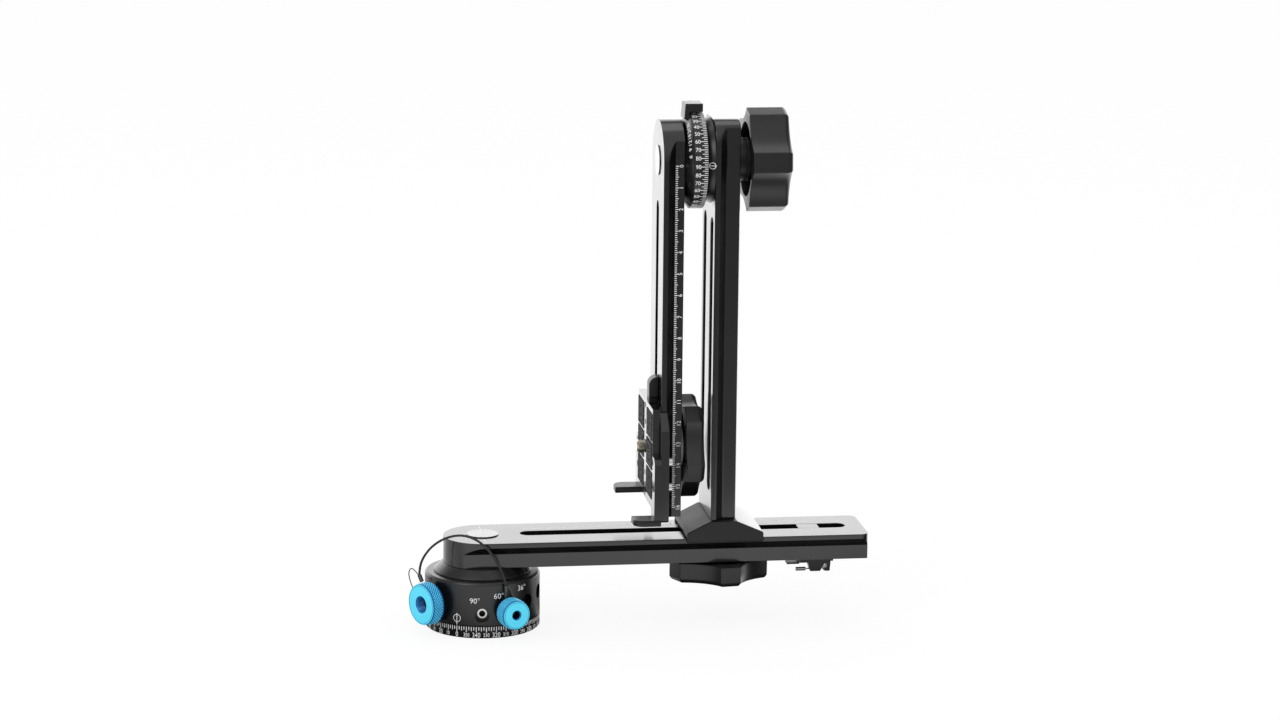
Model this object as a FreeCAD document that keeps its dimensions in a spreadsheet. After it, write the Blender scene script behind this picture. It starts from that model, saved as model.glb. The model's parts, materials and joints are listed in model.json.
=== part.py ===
import FreeCAD, Part
import math
import os
import sys

import Sketcher
from FreeCAD import Placement, Rotation, Vector

# Panoramic tripod head, in millimetres. The origin is on the pan axis at the bottom face of the base,
# +X runs along the lower arm, +Z is up and the camera plate faces -X.

doc = FreeCAD.newDocument("PanoramicTripodHead")

# ---------------------------------------------------------------- driving dimensions

DIMENSIONS = (
    # base and rotator
    ("ring_height", 5.75, "height of the graduated base ring"),
    ("rotator_radius", 26.8, "outer radius of the base ring and of the rotator body"),
    ("rotator_gap", 0.25, "gap between base ring and rotator body"),
    ("rotator_top", 26.3, "height of the rotator body's flat top"),
    ("rotator_edge", 1.4, "fillet at the rotator body's top edge"),
    ("cup_radius", 18.0, "inner radius of the rotator body"),
    ("roof_thick", 6.1, "thickness of the rotator body's roof"),
    ("drum_radius", 17.0, "radius of the detent drum"),
    ("detent_radius", 0.85, "radius of one detent hole"),
    ("detent_depth", 2.4, "depth of one detent hole"),
    ("spindle_radius", 6.0, "radius of the pan spindle"),
    ("insert_radius", 8.0, "outer radius of the tripod insert"),
    ("insert_height", 8.0, "height of the tripod insert"),
    ("tripod_thread_radius", 3.97, "minor radius of the 3/8 inch tripod thread"),
    ("washer_thick", 0.95, "thickness of the pan thrust washer"),
    ("disc_lower_radius", 22.7, "radius of the turntable disc at its foot"),
    ("disc_upper_radius", 18.7, "radius of the turntable disc under the arm"),
    ("disc_rim", 0.7, "height of the turntable disc's upright rim"),
    ("disc_recess_radius", 11.0, "radius of the recess for the spindle nut"),
    # ports, plunger and lock
    ("port_radius", 3.5, "radius of an index port"),
    ("port_depth", 4.2, "depth of the wide part of a port"),
    ("port_bore_radius", 2.5, "radius of the narrow part of a port"),
    ("port_first_angle", -6.0, "azimuth of the first port from -Y towards +X"),
    ("port_pitch_angle", 25.5, "angle from one port to the next"),
    ("port_first_height", 10.9, "height of the first port"),
    ("port_rise", 2.15, "rise from one port to the next"),
    ("pin_radius", 1.2, "radius of the index pin"),
    ("pin_tip_reach", 17.4, "distance from the pan axis to the pin's tip"),
    ("plunger_inner", 29.2, "distance from the pan axis to the plunger knob's inner face"),
    ("plunger_outer", 37.0, "distance from the pan axis to the plunger knob's outer face"),
    ("plunger_knob_radius", 7.05, "radius of the plunger knob"),
    ("plunger_travel", 2.4, "pull of the index plunger"),
    ("lock_angle", -57.8, "azimuth of the pan lock"),
    ("lock_height", 15.05, "height of the pan lock's axis"),
    ("lock_inner", 29.6, "distance from the pan axis to the lock knob's inner face"),
    ("lock_outer", 35.84, "distance from the pan axis to the lock knob's outer face"),
    ("lock_knob_radius", 9.9, "radius of the lock knob"),
    ("lock_screw_radius", 3.0, "radius of the lock screw"),
    # rails
    ("rail_width", 36.55, "full width of a rail across its lips"),
    ("rail_lip", 2.3, "height of a rail's lip"),
    ("rail_slope", 3.5, "height of the slope under a rail's lip"),
    ("rail_recess", 3.05, "depth of a rail's waist below its lip"),
    ("lower_arm_bottom", 30.46, "height of the lower arm's underside"),
    ("lower_arm_thick", 12.42, "thickness of the lower arm"),
    ("lower_arm_reach", 179.8, "length of the lower arm beyond the pan axis"),
    ("rail_corner", 4.0, "corner radius at a rail's square end"),
    ("lower_slot_start", 17.6, "start of the lower arm's slot"),
    ("lower_slot_end", 171.6, "end of the lower arm's slot"),
    ("lower_slot_width", 8.0, "width of the lower arm's slot"),
    ("cap_radius", 7.5, "radius of the lower arm's cap"),
    ("cap_depth", 2.5, "depth of an arm's cap recess"),
    ("cap_proud", 0.5, "how far a cap stands above its arm"),
    # foot and upright
    ("foot_start", 93.3, "near end of the foot along the lower arm"),
    ("foot_end", 129.5, "far end of the foot along the lower arm"),
    ("foot_half_width", 19.5, "half width of the foot"),
    ("foot_skirt_bottom", 41.0, "height of the skirt's lower edge"),
    ("foot_wall_top", 45.5, "height of the foot's upright end faces"),
    ("foot_top", 51.0, "height of the foot's flat top"),
    ("upright_start", 104.6, "inner face of the upright"),
    ("upright_thick", 12.1, "thickness of the upright"),
    ("upright_top", 238.1, "height of the upright's top"),
    ("upright_corner", 10.0, "corner radius at the upright's top"),
    ("upright_slot_offset", 9.75, "distance of the upright's slots from its middle"),
    ("upright_slot_width", 7.5, "width of the upright's slots"),
    ("upright_slot_bottom", 64.4, "lower end of the upright's slots"),
    ("upright_slot_top", 192.5, "upper end of the upright's slots"),
    # tilt unit
    ("pivot_height", 218.0, "height of the tilt axis"),
    ("upper_arm_start", 80.85, "outer face of the upper arm"),
    ("upper_arm_thick", 10.07, "thickness of the upper arm"),
    ("upper_arm_bottom", 52.7, "height of the upper arm's lower end"),
    ("upper_arm_rise", 0.8, "height of the centre of the upper arm's round end above the tilt axis"),
    ("upper_slot_top", 199.3, "upper end of the upper arm's slot"),
    ("upper_slot_bottom", 62.0, "lower end of the upper arm's slot"),
    ("upper_slot_width", 7.5, "width of the upper arm's slot"),
    ("pivot_cap_radius", 7.0, "radius of the upper arm's cap"),
    ("shaft_radius", 5.0, "radius of the tilt shaft"),
    ("shaft_end", 137.0, "free end of the tilt shaft"),
    ("dial_start", 94.3, "inner face of the graduated dial"),
    ("dial_end", 100.9, "outer face of the graduated dial"),
    ("dial_radius", 22.4, "radius of the graduated dial"),
    ("dial_boss_radius", 14.0, "radius of the boss that the selector ring turns on"),
    ("selector_radius", 22.0, "outer radius of the selector ring"),
    ("selector_small_radius", 17.0, "radius at the small end of the selector ring's bevel"),
    ("tab_inner_radius", 22.8, "underside of the selector tab, from the tilt axis"),
    ("tab_outer_radius", 26.6, "top of the selector tab, from the tilt axis"),
    ("tab_width", 11.0, "width of the selector tab"),
    ("hub_start", 101.2, "inner face of the index hub"),
    ("hub_radius", 18.6, "radius of the index hub at its inner face"),
    ("hub_base_radius", 20.0, "radius of the index hub at the upright"),
    # lobed clamp knobs
    ("knob_radius", 24.2, "radius over the corners of a clamp knob"),
    ("knob_narrow_angle", 22.0, "angle of a clamp knob's narrow flat"),
    ("knob_hollow", 2.4, "depth of a clamp knob's wide hollow facet below its chord"),
    ("knob_edge", 2.6, "fillet at a clamp knob's outer edge"),
    ("top_knob_start", 121.3, "inner face of the top knob"),
    ("top_knob_end", 139.9, "outer face of the top knob"),
    ("lower_knob_bottom", 20.2, "underside of the lower clamp knob"),
    ("lower_knob_top", 29.8, "top of the lower clamp knob"),
    ("plate_knob_start", 92.6, "inner face of the plate clamp knob"),
    ("plate_knob_end", 101.2, "outer face of the plate clamp knob"),
    # camera carriage
    ("plate_front", 76.14, "front face of the camera plate"),
    ("plate_back", 79.6, "back face of the camera plate"),
    ("plate_rib_back", 80.8, "back face of the camera plate's middle rib"),
    ("plate_half_width", 23.1, "half width of the camera plate"),
    ("plate_top", 105.7, "upper edge of the camera plate"),
    ("wing_half_width", 31.0, "half width over the camera plate's wings"),
    ("wing_top", 84.0, "upper edge of the camera plate's wings"),
    ("wing_corner", 4.0, "corner radius of the wings"),
    ("pad_thick", 0.5, "thickness of a grip pad"),
    ("pad_inner", 4.8, "distance of the grip pads from the middle"),
    ("pad_outer", 22.0, "outer side of the grip pads"),
    ("pad_first", 62.9, "lower edge of the lowest grip pads"),
    ("pad_height", 12.8, "height of a grip pad"),
    ("pad_pitch", 13.8, "distance from one row of grip pads to the next"),
    ("camera_axis_height", 83.4, "height of the camera screw"),
    ("camera_screw_radius", 3.17, "radius of the 1/4 inch camera screw"),
    ("camera_screw_tip", 72.0, "tip of the camera screw"),
    ("bar_end", 83.55, "outer face of the guide bars"),
    ("bar_outer", 27.3, "outer side of the guide bars"),
    ("bar_bottom", 53.0, "lower end of the guide bars"),
    ("bar_top", 103.5, "upper end of the guide bars"),
    ("bar_bevel", 7.7, "bevel at the upper end of the guide bars"),
    ("bar_screw_offset", 24.5, "distance of the guide bar screws from the middle"),
    ("bar_screw_low", 69.3, "height of the lower guide bar screws"),
    ("bar_screw_high", 81.2, "height of the upper guide bar screws"),
    ("near_lug_tip", 66.9, "tip of the near camera lug"),
    ("far_lug_tip", 65.0, "tip of the far camera lug"),
    ("lug_end", 79.5, "rear end of the camera lugs"),
    ("near_lug_bottom", 52.2, "underside of the near camera lug"),
    ("far_lug_bottom", 56.0, "underside of the far camera lug"),
    ("lug_thick", 2.9, "thickness of a camera lug"),
    ("lug_width", 10.9, "width of a camera lug"),
    ("lug_corner", 4.8, "radius of a camera lug's outer front corner"),
    ("top_lug_width", 7.0, "width of the upper lug"),
    ("top_lug_top", 118.2, "top of the upper lug"),
    ("top_lug_side", -10.0, "near side of the upper lug"),
    ("top_lug_back", 80.75, "rear face of the upper lug"),
    # slot stop
    ("stop_start", 148.8, "start of the stop block in the slot"),
    ("stop_end", 158.8, "end of the stop block in the slot"),
    ("stop_plate_end", 165.1, "end of the stop clip's plate"),
    ("stop_plate_bottom", 25.6, "underside of the stop clip's plate"),
    ("stop_bottom", 21.4, "underside of the stop clip"),
    # clearances
    ("seat_gap", 0.02, "clearance of a seat within one body"),
    ("running_gap", 0.05, "radial clearance of a shaft in its bore"),
    ("slide_gap", 0.05, "gap between sliding flat faces"),
    ("free_gap", 0.3, "gap between moving pieces that only pass each other"),
)


def formula_of(value):
    return value.formula if isinstance(value, Size) else "(%r)" % float(value)


class Size(float):
    """A length that carries the spreadsheet formula it was worked out from."""

    def __new__(cls, value, formula):
        size = float.__new__(cls, value)
        size.formula = formula
        return size

    def __add__(self, other):
        return Size(float(self) + float(other), "(%s + %s)" % (self.formula, formula_of(other)))

    def __radd__(self, other):
        return self + other

    def __sub__(self, other):
        return Size(float(self) - float(other), "(%s - %s)" % (self.formula, formula_of(other)))

    def __rsub__(self, other):
        return Size(float(other) - float(self), "(%s - %s)" % (formula_of(other), self.formula))

    def __mul__(self, other):
        return Size(float(self) * float(other), "(%s * %s)" % (self.formula, formula_of(other)))

    def __rmul__(self, other):
        return self * other

    def __truediv__(self, other):
        return Size(float(self) / float(other), "(%s / %s)" % (self.formula, formula_of(other)))

    def __neg__(self):
        return Size(-float(self), "(0 - %s)" % self.formula)


def make_sheet():
    sheet = doc.addObject("Spreadsheet::Sheet", "Dims")
    sizes = {}
    for row, (alias, value, note) in enumerate(DIMENSIONS, start=1):
        sheet.set("A%d" % row, alias)
        sheet.set("B%d" % row, str(value))
        sheet.set("C%d" % row, note)
        sheet.setAlias("B%d" % row, alias)
        sizes[alias] = Size(value, "Dims.%s" % alias)
    doc.recompute()
    return sizes


class Named:
    """The driving dimensions, read as attributes."""

    def __init__(self, sizes):
        self.__dict__.update(sizes)


D = Named(make_sheet())
NODES = []

# ---------------------------------------------------------------- drawing helpers

OVERRUN = 1.0   # how far a cutter passes the face that it opens
KEY_DEPTH = 0.6   # depth of a hex socket, as a share of its head's height

ALONG_Z = Rotation()
ALONG_X = Rotation(Vector(0, 1, 0), 90)
ALONG_Y = Rotation(Vector(1, 0, 0), -90)


def radial(azimuth):
    """Turns +Z to the horizontal direction at an azimuth counted from -Y towards +X."""
    return Rotation(Vector(0, 0, 1), float(azimuth) - 90) * ALONG_X


def bind(item, path, value):
    item.setExpression(path, formula_of(value))


def place(item, x=0.0, y=0.0, z=0.0, rotation=ALONG_Z):
    item.Placement = Placement(Vector(float(x), float(y), float(z)), rotation)
    for path, value in (("x", x), ("y", y), ("z", z)):
        bind(item, "Placement.Base." + path, value)
    return item


def node(item, name):
    item.Label = name
    NODES.append(item)
    return item


def box(name, x, y, z):
    """A box from pairs of low and high values."""
    item = doc.addObject("Part::Box", name)
    for path, (low, high) in (("Length", x), ("Width", y), ("Height", z)):
        bind(item, path, high - low)
    return place(item, x[0], y[0], z[0])


def cylinder(name, radius, low, high):
    """A cylinder about the local Z axis."""
    item = doc.addObject("Part::Cylinder", name)
    bind(item, "Radius", radius)
    bind(item, "Height", high - low)
    return place(item, z=low)


def hexagon(name, across_corners, low, high):
    item = doc.addObject("Part::Prism", name)
    item.Polygon = 6
    bind(item, "Circumradius", across_corners / 2)
    bind(item, "Height", high - low)
    return place(item, z=low)


def cut(name, base, tool):
    item = doc.addObject("Part::Cut", name)
    item.Base = base
    item.Tool = tool
    return item


def fuse(name, *shapes):
    item = doc.addObject("Part::MultiFuse", name)
    item.Shapes = list(shapes)
    return item


def common(name, *shapes):
    item = doc.addObject("Part::MultiCommon", name)
    item.Shapes = list(shapes)
    return item


def group(name, items):
    item = doc.addObject("Part::Compound", name)
    item.Links = list(items)
    return node(item, name)


def fillet(name, base, radius, wanted):
    """Rounds each edge of the base whose middle passes the test."""
    doc.recompute()
    item = doc.addObject("Part::Fillet", name)
    item.Base = base
    edges = []
    for index, edge in enumerate(base.Shape.Edges, start=1):
        middle = edge.valueAt((edge.FirstParameter + edge.LastParameter) / 2)
        if wanted(edge, middle):
            edges.append((index, float(radius), float(radius)))
    item.Edges = edges
    return item


def new_body(name):
    body = doc.addObject("PartDesign::Body", name)
    body.Label = name
    return body


def sketch_on(body, role, offset=0.0):
    """A sketch on one of the body's own origin planes, moved along the plane's normal."""
    sketch = body.newObject("Sketcher::SketchObject", body.Name + "_sketch")
    plane = next(item for item in body.Origin.OriginFeatures if item.Role == role)
    sketch.AttachmentSupport = [(plane, "")]
    sketch.MapMode = "FlatFace"
    bind(sketch, "AttachmentOffset.Base.z", offset)
    return sketch


def fix_point(sketch, geometry, end, x, y):
    for kind, value in (("DistanceX", x), ("DistanceY", y)):
        index = sketch.addConstraint(Sketcher.Constraint(kind, -1, 1, geometry, end, float(value)))
        bind(sketch, "Constraints[%d]" % index, value)


def arc_between(start, end, radius):
    """The minor arc from start to end, turning left for a positive radius and right for a negative one."""
    chord = end - start
    middle = (start + end) / 2
    rise = math.sqrt(max(float(radius) ** 2 - (chord.Length / 2) ** 2, 0.0))
    side = Vector(-chord.y, chord.x, 0).normalize() * (rise if float(radius) > 0 else -rise)
    centre = middle + side
    first, last = (start, end) if float(radius) > 0 else (end, start)
    angles = [math.atan2(p.y - centre.y, p.x - centre.x) for p in (first, last)]
    if angles[1] < angles[0]:
        angles[1] += 2 * math.pi
    return Part.ArcOfCircle(Part.Circle(centre, Vector(0, 0, 1), abs(float(radius))), angles[0], angles[1])


def outline(sketch, corners):
    """A closed outline. A corner (x, y) starts a line and a corner (x, y, radius) starts an arc."""
    points = [Vector(float(corner[0]), float(corner[1]), 0) for corner in corners]
    ends = []
    for index, corner in enumerate(corners):
        start, end = points[index], points[(index + 1) % len(points)]
        if len(corner) == 2:
            geometry = sketch.addGeometry(Part.LineSegment(start, end), False)
            first, last = 1, 2
        else:
            geometry = sketch.addGeometry(arc_between(start, end, corner[2]), False)
            first, last = (1, 2) if float(corner[2]) > 0 else (2, 1)
            limit = sketch.addConstraint(Sketcher.Constraint("Radius", geometry, abs(float(corner[2]))))
            bind(sketch, "Constraints[%d]" % limit, corner[2] if float(corner[2]) > 0 else -corner[2])
        fix_point(sketch, geometry, first, corner[0], corner[1])
        ends.append((geometry, first, last))
    for (geometry, _, last), (following, first, _) in zip(ends, ends[1:] + ends[:1]):
        sketch.addConstraint(Sketcher.Constraint("Coincident", geometry, last, following, first))


def pad(body, sketch, length):
    feature = body.newObject("PartDesign::Pad", body.Name + "_pad")
    feature.Profile = sketch
    bind(feature, "Length", length)
    sketch.Visibility = False
    return feature


def extruded(name, role, low, high, corners):
    """A body with one outline, padded along its plane's normal."""
    body = new_body(name)
    sketch = sketch_on(body, role, low)
    outline(sketch, corners)
    pad(body, sketch, high - low)
    return body


def turned(name, corners):
    """A body turned about its local Z axis from an outline of (radius, height) corners."""
    body = new_body(name)
    sketch = sketch_on(body, "XZ_Plane")
    outline(sketch, corners)
    feature = body.newObject("PartDesign::Revolution", name + "_turning")
    feature.Profile = sketch
    feature.ReferenceAxis = (sketch, ["V_Axis"])
    feature.Angle = 360
    return body


def ring(name, inner, outer, low, high):
    """A plain ring, or a disc where the inner radius is zero."""
    return turned(name, ((inner, low), (outer, low), (outer, high), (inner, high)))


def drilled(name, base, holes):
    """Cuts holes, given as objects, out of a base."""
    tool = holes[0] if len(holes) == 1 else fuse(name + "_holes", *holes)
    return cut(name, base, tool)


def bolt(name, head_radius, head_height, shank_radius, length, socket):
    """A socket screw: head top at the local origin, shank running down the local -Z axis."""
    head = cylinder(name + "_head", head_radius, -head_height, 0.0)
    shank = cylinder(name + "_shank", shank_radius, -length, -head_height)
    key = hexagon(name + "_key", socket, -KEY_DEPTH * head_height, OVERRUN)
    return cut(name, fuse(name + "_blank", head, shank), key)


def ring_places(count, radius, first=0.0):
    """Places evenly round a circle, as (x, y) pairs."""
    angles = [math.radians(first + 360.0 * index / count) for index in range(count)]
    return [(radius * math.cos(angle), radius * math.sin(angle)) for angle in angles]


def slot_corners(low, high, half_width, middle=0.0):
    """A slot with round ends, from low to high along the first axis."""
    first = low + half_width
    last = high - half_width
    return (
        (first, middle - half_width),
        (last, middle - half_width, half_width * 1.0),
        (high, middle, half_width * 1.0),
        (last, middle + half_width),
        (first, middle + half_width, half_width * 1.0),
        (low, middle, half_width * 1.0),
    )


class Fastener:
    """One size of socket screw. Head and shank are radii, and the socket is a width over its corners."""

    def __init__(self, head, height, shank, socket):
        self.head, self.height, self.shank, self.socket = head, height, shank, socket


FINE = Fastener(1.6, 1.5, 0.8, 1.6)
SMALL = Fastener(2.1, 1.55, 1.4, 2.2)
MEDIUM = Fastener(2.6, 2.2, 1.5, 2.9)
LARGE = Fastener(3.5, 3.0, 2.0, 3.6)
SHANK_UP = Rotation(Vector(1, 0, 0), 180)
HEAD_INSET = 0.3   # depth of a sunk head below its face


def screws(name, kind, length, places, rotation):
    """A set of equal screws, each with its head's top at one (x, y, z) place."""
    items = []
    for index, (x, y, z) in enumerate(places, start=1):
        item = bolt("%s_%d" % (name, index), kind.head, kind.height, kind.shank, length, kind.socket)
        items.append(place(item, x, y, z, rotation))
    return group(name, items)


def screw_holes(name, kind, length, places, rotation, open_by=4.0):
    """The clearance that a set of screws needs, opened outwards from the heads."""
    holes = []
    for index, (x, y, z) in enumerate(places, start=1):
        tag = "%s_%d" % (name, index)
        head = cylinder(tag + "_head", kind.head + D.seat_gap, -kind.height - D.seat_gap, open_by)
        shank = cylinder(tag + "_shank", kind.shank + D.seat_gap, -length - D.seat_gap, 0.0)
        holes.append(place(fuse(tag, head, shank), x, y, z, rotation))
    return holes


def place_radial(item, azimuth, height, distance=0.0):
    """Puts an item built along local +Z so that it points away from the pan axis."""
    turn = math.radians(float(azimuth))
    return place(item, distance * math.sin(turn), -distance * math.cos(turn), height, radial(azimuth))


COIL_PIECE = 0.5   # turns in one piece of a spring's path


def coil(name, radius, wire, pitch, turns, start):
    """A helical spring about the local Z axis."""
    spine = doc.addObject("Part::Helix", name + "_path")
    bind(spine, "Pitch", pitch)
    bind(spine, "Height", pitch * turns)
    bind(spine, "Radius", radius)
    spine.SegmentLength = COIL_PIECE
    place(spine, z=start)
    section = doc.addObject("Part::Circle", name + "_section")
    bind(section, "Radius", wire)
    place(section, x=radius, z=start, rotation=ALONG_Y)
    doc.recompute()
    spring = doc.addObject("Part::Sweep", name)
    spring.Sections = [section]
    spring.Spine = (spine, ["Edge%d" % (index + 1) for index in range(len(spine.Shape.Edges))])
    spring.Solid = True
    spring.Frenet = True
    return spring


# ---------------------------------------------------------------- base

PORTS = 4
DETENTS = (4, 6, 10, 12)
ROOF_BOTTOM = D.rotator_top - D.roof_thick
DRUM_TOP = ROOF_BOTTOM - D.washer_thick - D.slide_gap
FLANGE_THICK = 1.5
FLANGE_RADIUS = D.insert_radius - 0.2   # clear of the insert's pocket
FLANGE_TOP = D.insert_height + D.seat_gap + FLANGE_THICK
DISC_ROOF = 0.76
SPINDLE_CLEAR = 0.2   # room between the spindle and the roof of its recess
RECESS_TOP = D.lower_arm_bottom - DISC_ROOF
BASE_EDGE = 0.8
DRUM_SCREW_LENGTH = 13.5
DRUM_SCREW_CIRCLE = 11.8
DRUM_SCREW_PLACES = [(x, y, HEAD_INSET) for x, y in ring_places(4, DRUM_SCREW_CIRCLE, 45.0)]


def port_angle(index):
    return D.port_first_angle + D.port_pitch_angle * index


def port_height(index):
    return D.port_first_height + D.port_rise * index


def make_base():
    seat = D.insert_radius + D.seat_gap
    plate = turned("base_plate_blank", (
        (seat, 0.0),
        (D.rotator_radius - BASE_EDGE, 0.0),
        (D.rotator_radius, BASE_EDGE),
        (D.rotator_radius, D.ring_height),
        (seat, D.ring_height),
    ))
    holes = screw_holes("plate_hole", MEDIUM, DRUM_SCREW_LENGTH, DRUM_SCREW_PLACES, SHANK_UP)
    node(drilled("base_plate", plate, holes), "base_plate")
    insert = ring("tripod_insert", D.tripod_thread_radius, D.insert_radius, 0.0, D.insert_height)
    node(insert, "tripod_insert")

    bore = D.spindle_radius + D.seat_gap
    drum = turned("drum_blank", (
        (seat, D.ring_height),
        (D.drum_radius, D.ring_height),
        (D.drum_radius, DRUM_TOP),
        (bore, DRUM_TOP),
        (bore, FLANGE_TOP + D.seat_gap),
        (seat, FLANGE_TOP + D.seat_gap),
    ))
    holes = screw_holes("drum_hole", MEDIUM, DRUM_SCREW_LENGTH, DRUM_SCREW_PLACES, SHANK_UP)
    for row, count in enumerate(DETENTS):
        for step in range(count):
            hole = cylinder("detent_%d_%d" % (row, step), D.detent_radius, 0.0, D.detent_depth + OVERRUN)
            holes.append(place_radial(hole, port_angle(row) + 360.0 * step / count, port_height(row),
                                      D.drum_radius - D.detent_depth))
    node(drilled("detent_drum", drum, holes), "detent_drum")
    screws("drum_screws", MEDIUM, DRUM_SCREW_LENGTH, DRUM_SCREW_PLACES, SHANK_UP)

    foot = D.insert_height + D.seat_gap
    spindle_top = RECESS_TOP - SPINDLE_CLEAR
    node(turned("spindle", (
        (0.0, foot),
        (FLANGE_RADIUS, foot),
        (FLANGE_RADIUS, FLANGE_TOP),
        (D.spindle_radius, FLANGE_TOP),
        (D.spindle_radius, spindle_top),
        (0.0, spindle_top),
    )), "spindle")
    washer_edge = 1.5
    node(ring("thrust_washer", D.spindle_radius + D.seat_gap, D.drum_radius - washer_edge,
              DRUM_TOP, DRUM_TOP + D.washer_thick), "thrust_washer")

    spring_room = 0.5
    spring_inner = D.spindle_radius + D.free_gap
    spring_outer = D.disc_recess_radius - spring_room
    spring_foot = D.rotator_top + D.slide_gap
    spring_thick = 0.6
    spring_rise = 0.75
    node(turned("disc_spring", (
        (spring_outer, spring_foot),
        (spring_outer, spring_foot + spring_thick),
        (spring_inner, spring_foot + spring_rise + spring_thick),
        (spring_inner, spring_foot + spring_rise),
    )), "disc_spring")
    nut_bottom = spring_foot + spring_rise + spring_thick + D.seat_gap
    nut_room = 1.7
    nut = hexagon("spindle_nut_blank", (D.disc_recess_radius - nut_room) * 2, nut_bottom, spindle_top)
    bore = cylinder("spindle_nut_bore", D.spindle_radius + D.seat_gap,
                    nut_bottom - OVERRUN, spindle_top + OVERRUN)
    node(cut("spindle_nut", nut, bore), "spindle_nut")


# ---------------------------------------------------------------- rotator

ARM_SCREW_LENGTH = 11.5
ARM_SCREW_CIRCLE = 14.6
ARM_SCREW_PLACES = [(x, y, D.rotator_top + HEAD_INSET)
                    for x, y in ring_places(4, ARM_SCREW_CIRCLE, 45.0)]
TABLE_SCREW_LENGTH = 8.8
TABLE_SCREW_CIRCLE = 14.4
TABLE_SCREW_PLACES = [(x, y, ROOF_BOTTOM + HEAD_INSET)
                      for x, y in ring_places(4, TABLE_SCREW_CIRCLE)]
PORT_FLOOR = D.rotator_radius - D.port_depth
PLUNGER_PORT = 1
GRUB_LENGTH = 4.0
GRUB_KEY = 2.48   # hex socket over its corners


def make_rotator():
    low = D.ring_height + D.rotator_gap
    bore = D.spindle_radius + D.running_gap
    shell = turned("rotator_body_blank", (
        (D.cup_radius, low),
        (D.rotator_radius, low),
        (D.rotator_radius, D.rotator_top - D.rotator_edge, D.rotator_edge),
        (D.rotator_radius - D.rotator_edge, D.rotator_top),
        (bore, D.rotator_top),
        (bore, ROOF_BOTTOM),
        (D.cup_radius, ROOF_BOTTOM),
    ))
    holes = screw_holes("roof_hole", MEDIUM, TABLE_SCREW_LENGTH, TABLE_SCREW_PLACES, SHANK_UP)
    for index in range(PORTS):
        wide = cylinder("port_%d" % index, D.port_radius, 0.0, D.port_depth + OVERRUN)
        narrow = cylinder("port_bore_%d" % index, D.port_bore_radius, 0.0,
                          PORT_FLOOR - D.cup_radius + 2 * OVERRUN)
        holes.append(place_radial(wide, port_angle(index), port_height(index), PORT_FLOOR))
        holes.append(place_radial(narrow, port_angle(index), port_height(index), D.cup_radius - OVERRUN))
    lock = cylinder("lock_hole", D.lock_screw_radius + D.running_gap, 0.0,
                    D.rotator_radius - D.cup_radius + 2 * OVERRUN)
    holes.append(place_radial(lock, D.lock_angle, D.lock_height, D.cup_radius - OVERRUN))
    node(drilled("rotator_body", shell, holes), "rotator_body")

    disc = turned("turntable_disc_blank", (
        (D.disc_recess_radius, D.rotator_top),
        (D.disc_lower_radius, D.rotator_top),
        (D.disc_lower_radius, D.rotator_top + D.disc_rim),
        (D.disc_upper_radius, D.lower_arm_bottom),
        (0.0, D.lower_arm_bottom),
        (0.0, RECESS_TOP),
        (D.disc_recess_radius, RECESS_TOP),
    ))
    holes = screw_holes("disc_hole", MEDIUM, TABLE_SCREW_LENGTH, TABLE_SCREW_PLACES, SHANK_UP, 0.0)
    holes += screw_holes("disc_arm_hole", MEDIUM, ARM_SCREW_LENGTH, ARM_SCREW_PLACES, SHANK_UP)
    node(drilled("turntable_disc", disc, holes), "turntable_disc")
    screws("turntable_screws", MEDIUM, TABLE_SCREW_LENGTH, TABLE_SCREW_PLACES, SHANK_UP)
    screws("arm_screws", MEDIUM, ARM_SCREW_LENGTH, ARM_SCREW_PLACES, SHANK_UP)

    grub = cylinder("port_set_screw_blank", D.port_bore_radius - D.seat_gap, 0.0, GRUB_LENGTH)
    key = hexagon("port_set_screw_key", GRUB_KEY, GRUB_LENGTH / 2, GRUB_LENGTH + OVERRUN)
    grub = place_radial(cut("port_set_screw", grub, key), port_angle(0), port_height(0),
                        PORT_FLOOR - GRUB_LENGTH)
    node(grub, "port_set_screw")


# ---------------------------------------------------------------- index plunger and pan lock

BARREL_START = PORT_FLOOR + D.seat_gap
BARREL_END = D.plunger_inner - D.free_gap
BARREL_LIP = 1.0
CHAMBER_START = BARREL_START + BARREL_LIP
CHAMBER_END = BARREL_END - 0.6
CHAMBER_RADIUS = D.port_radius - 0.9
COLLAR_THICK = 0.8
PIN_GRIP = 3.8
PIN_END = D.plunger_inner + PIN_GRIP
PIN_TIP_CLEAR = 0.1
PIN_STEP = 0.4
PLUNGER_WIRE = 0.16   # radius of the spring's wire
PLUNGER_TURNS = 2
KNOB_RIM = 0.5
LOCK_PAD_INSET = 1.0
LOCK_SCREW_GRIP = 2.4
LOCK_HOLE_ROOM = 0.6


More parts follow.
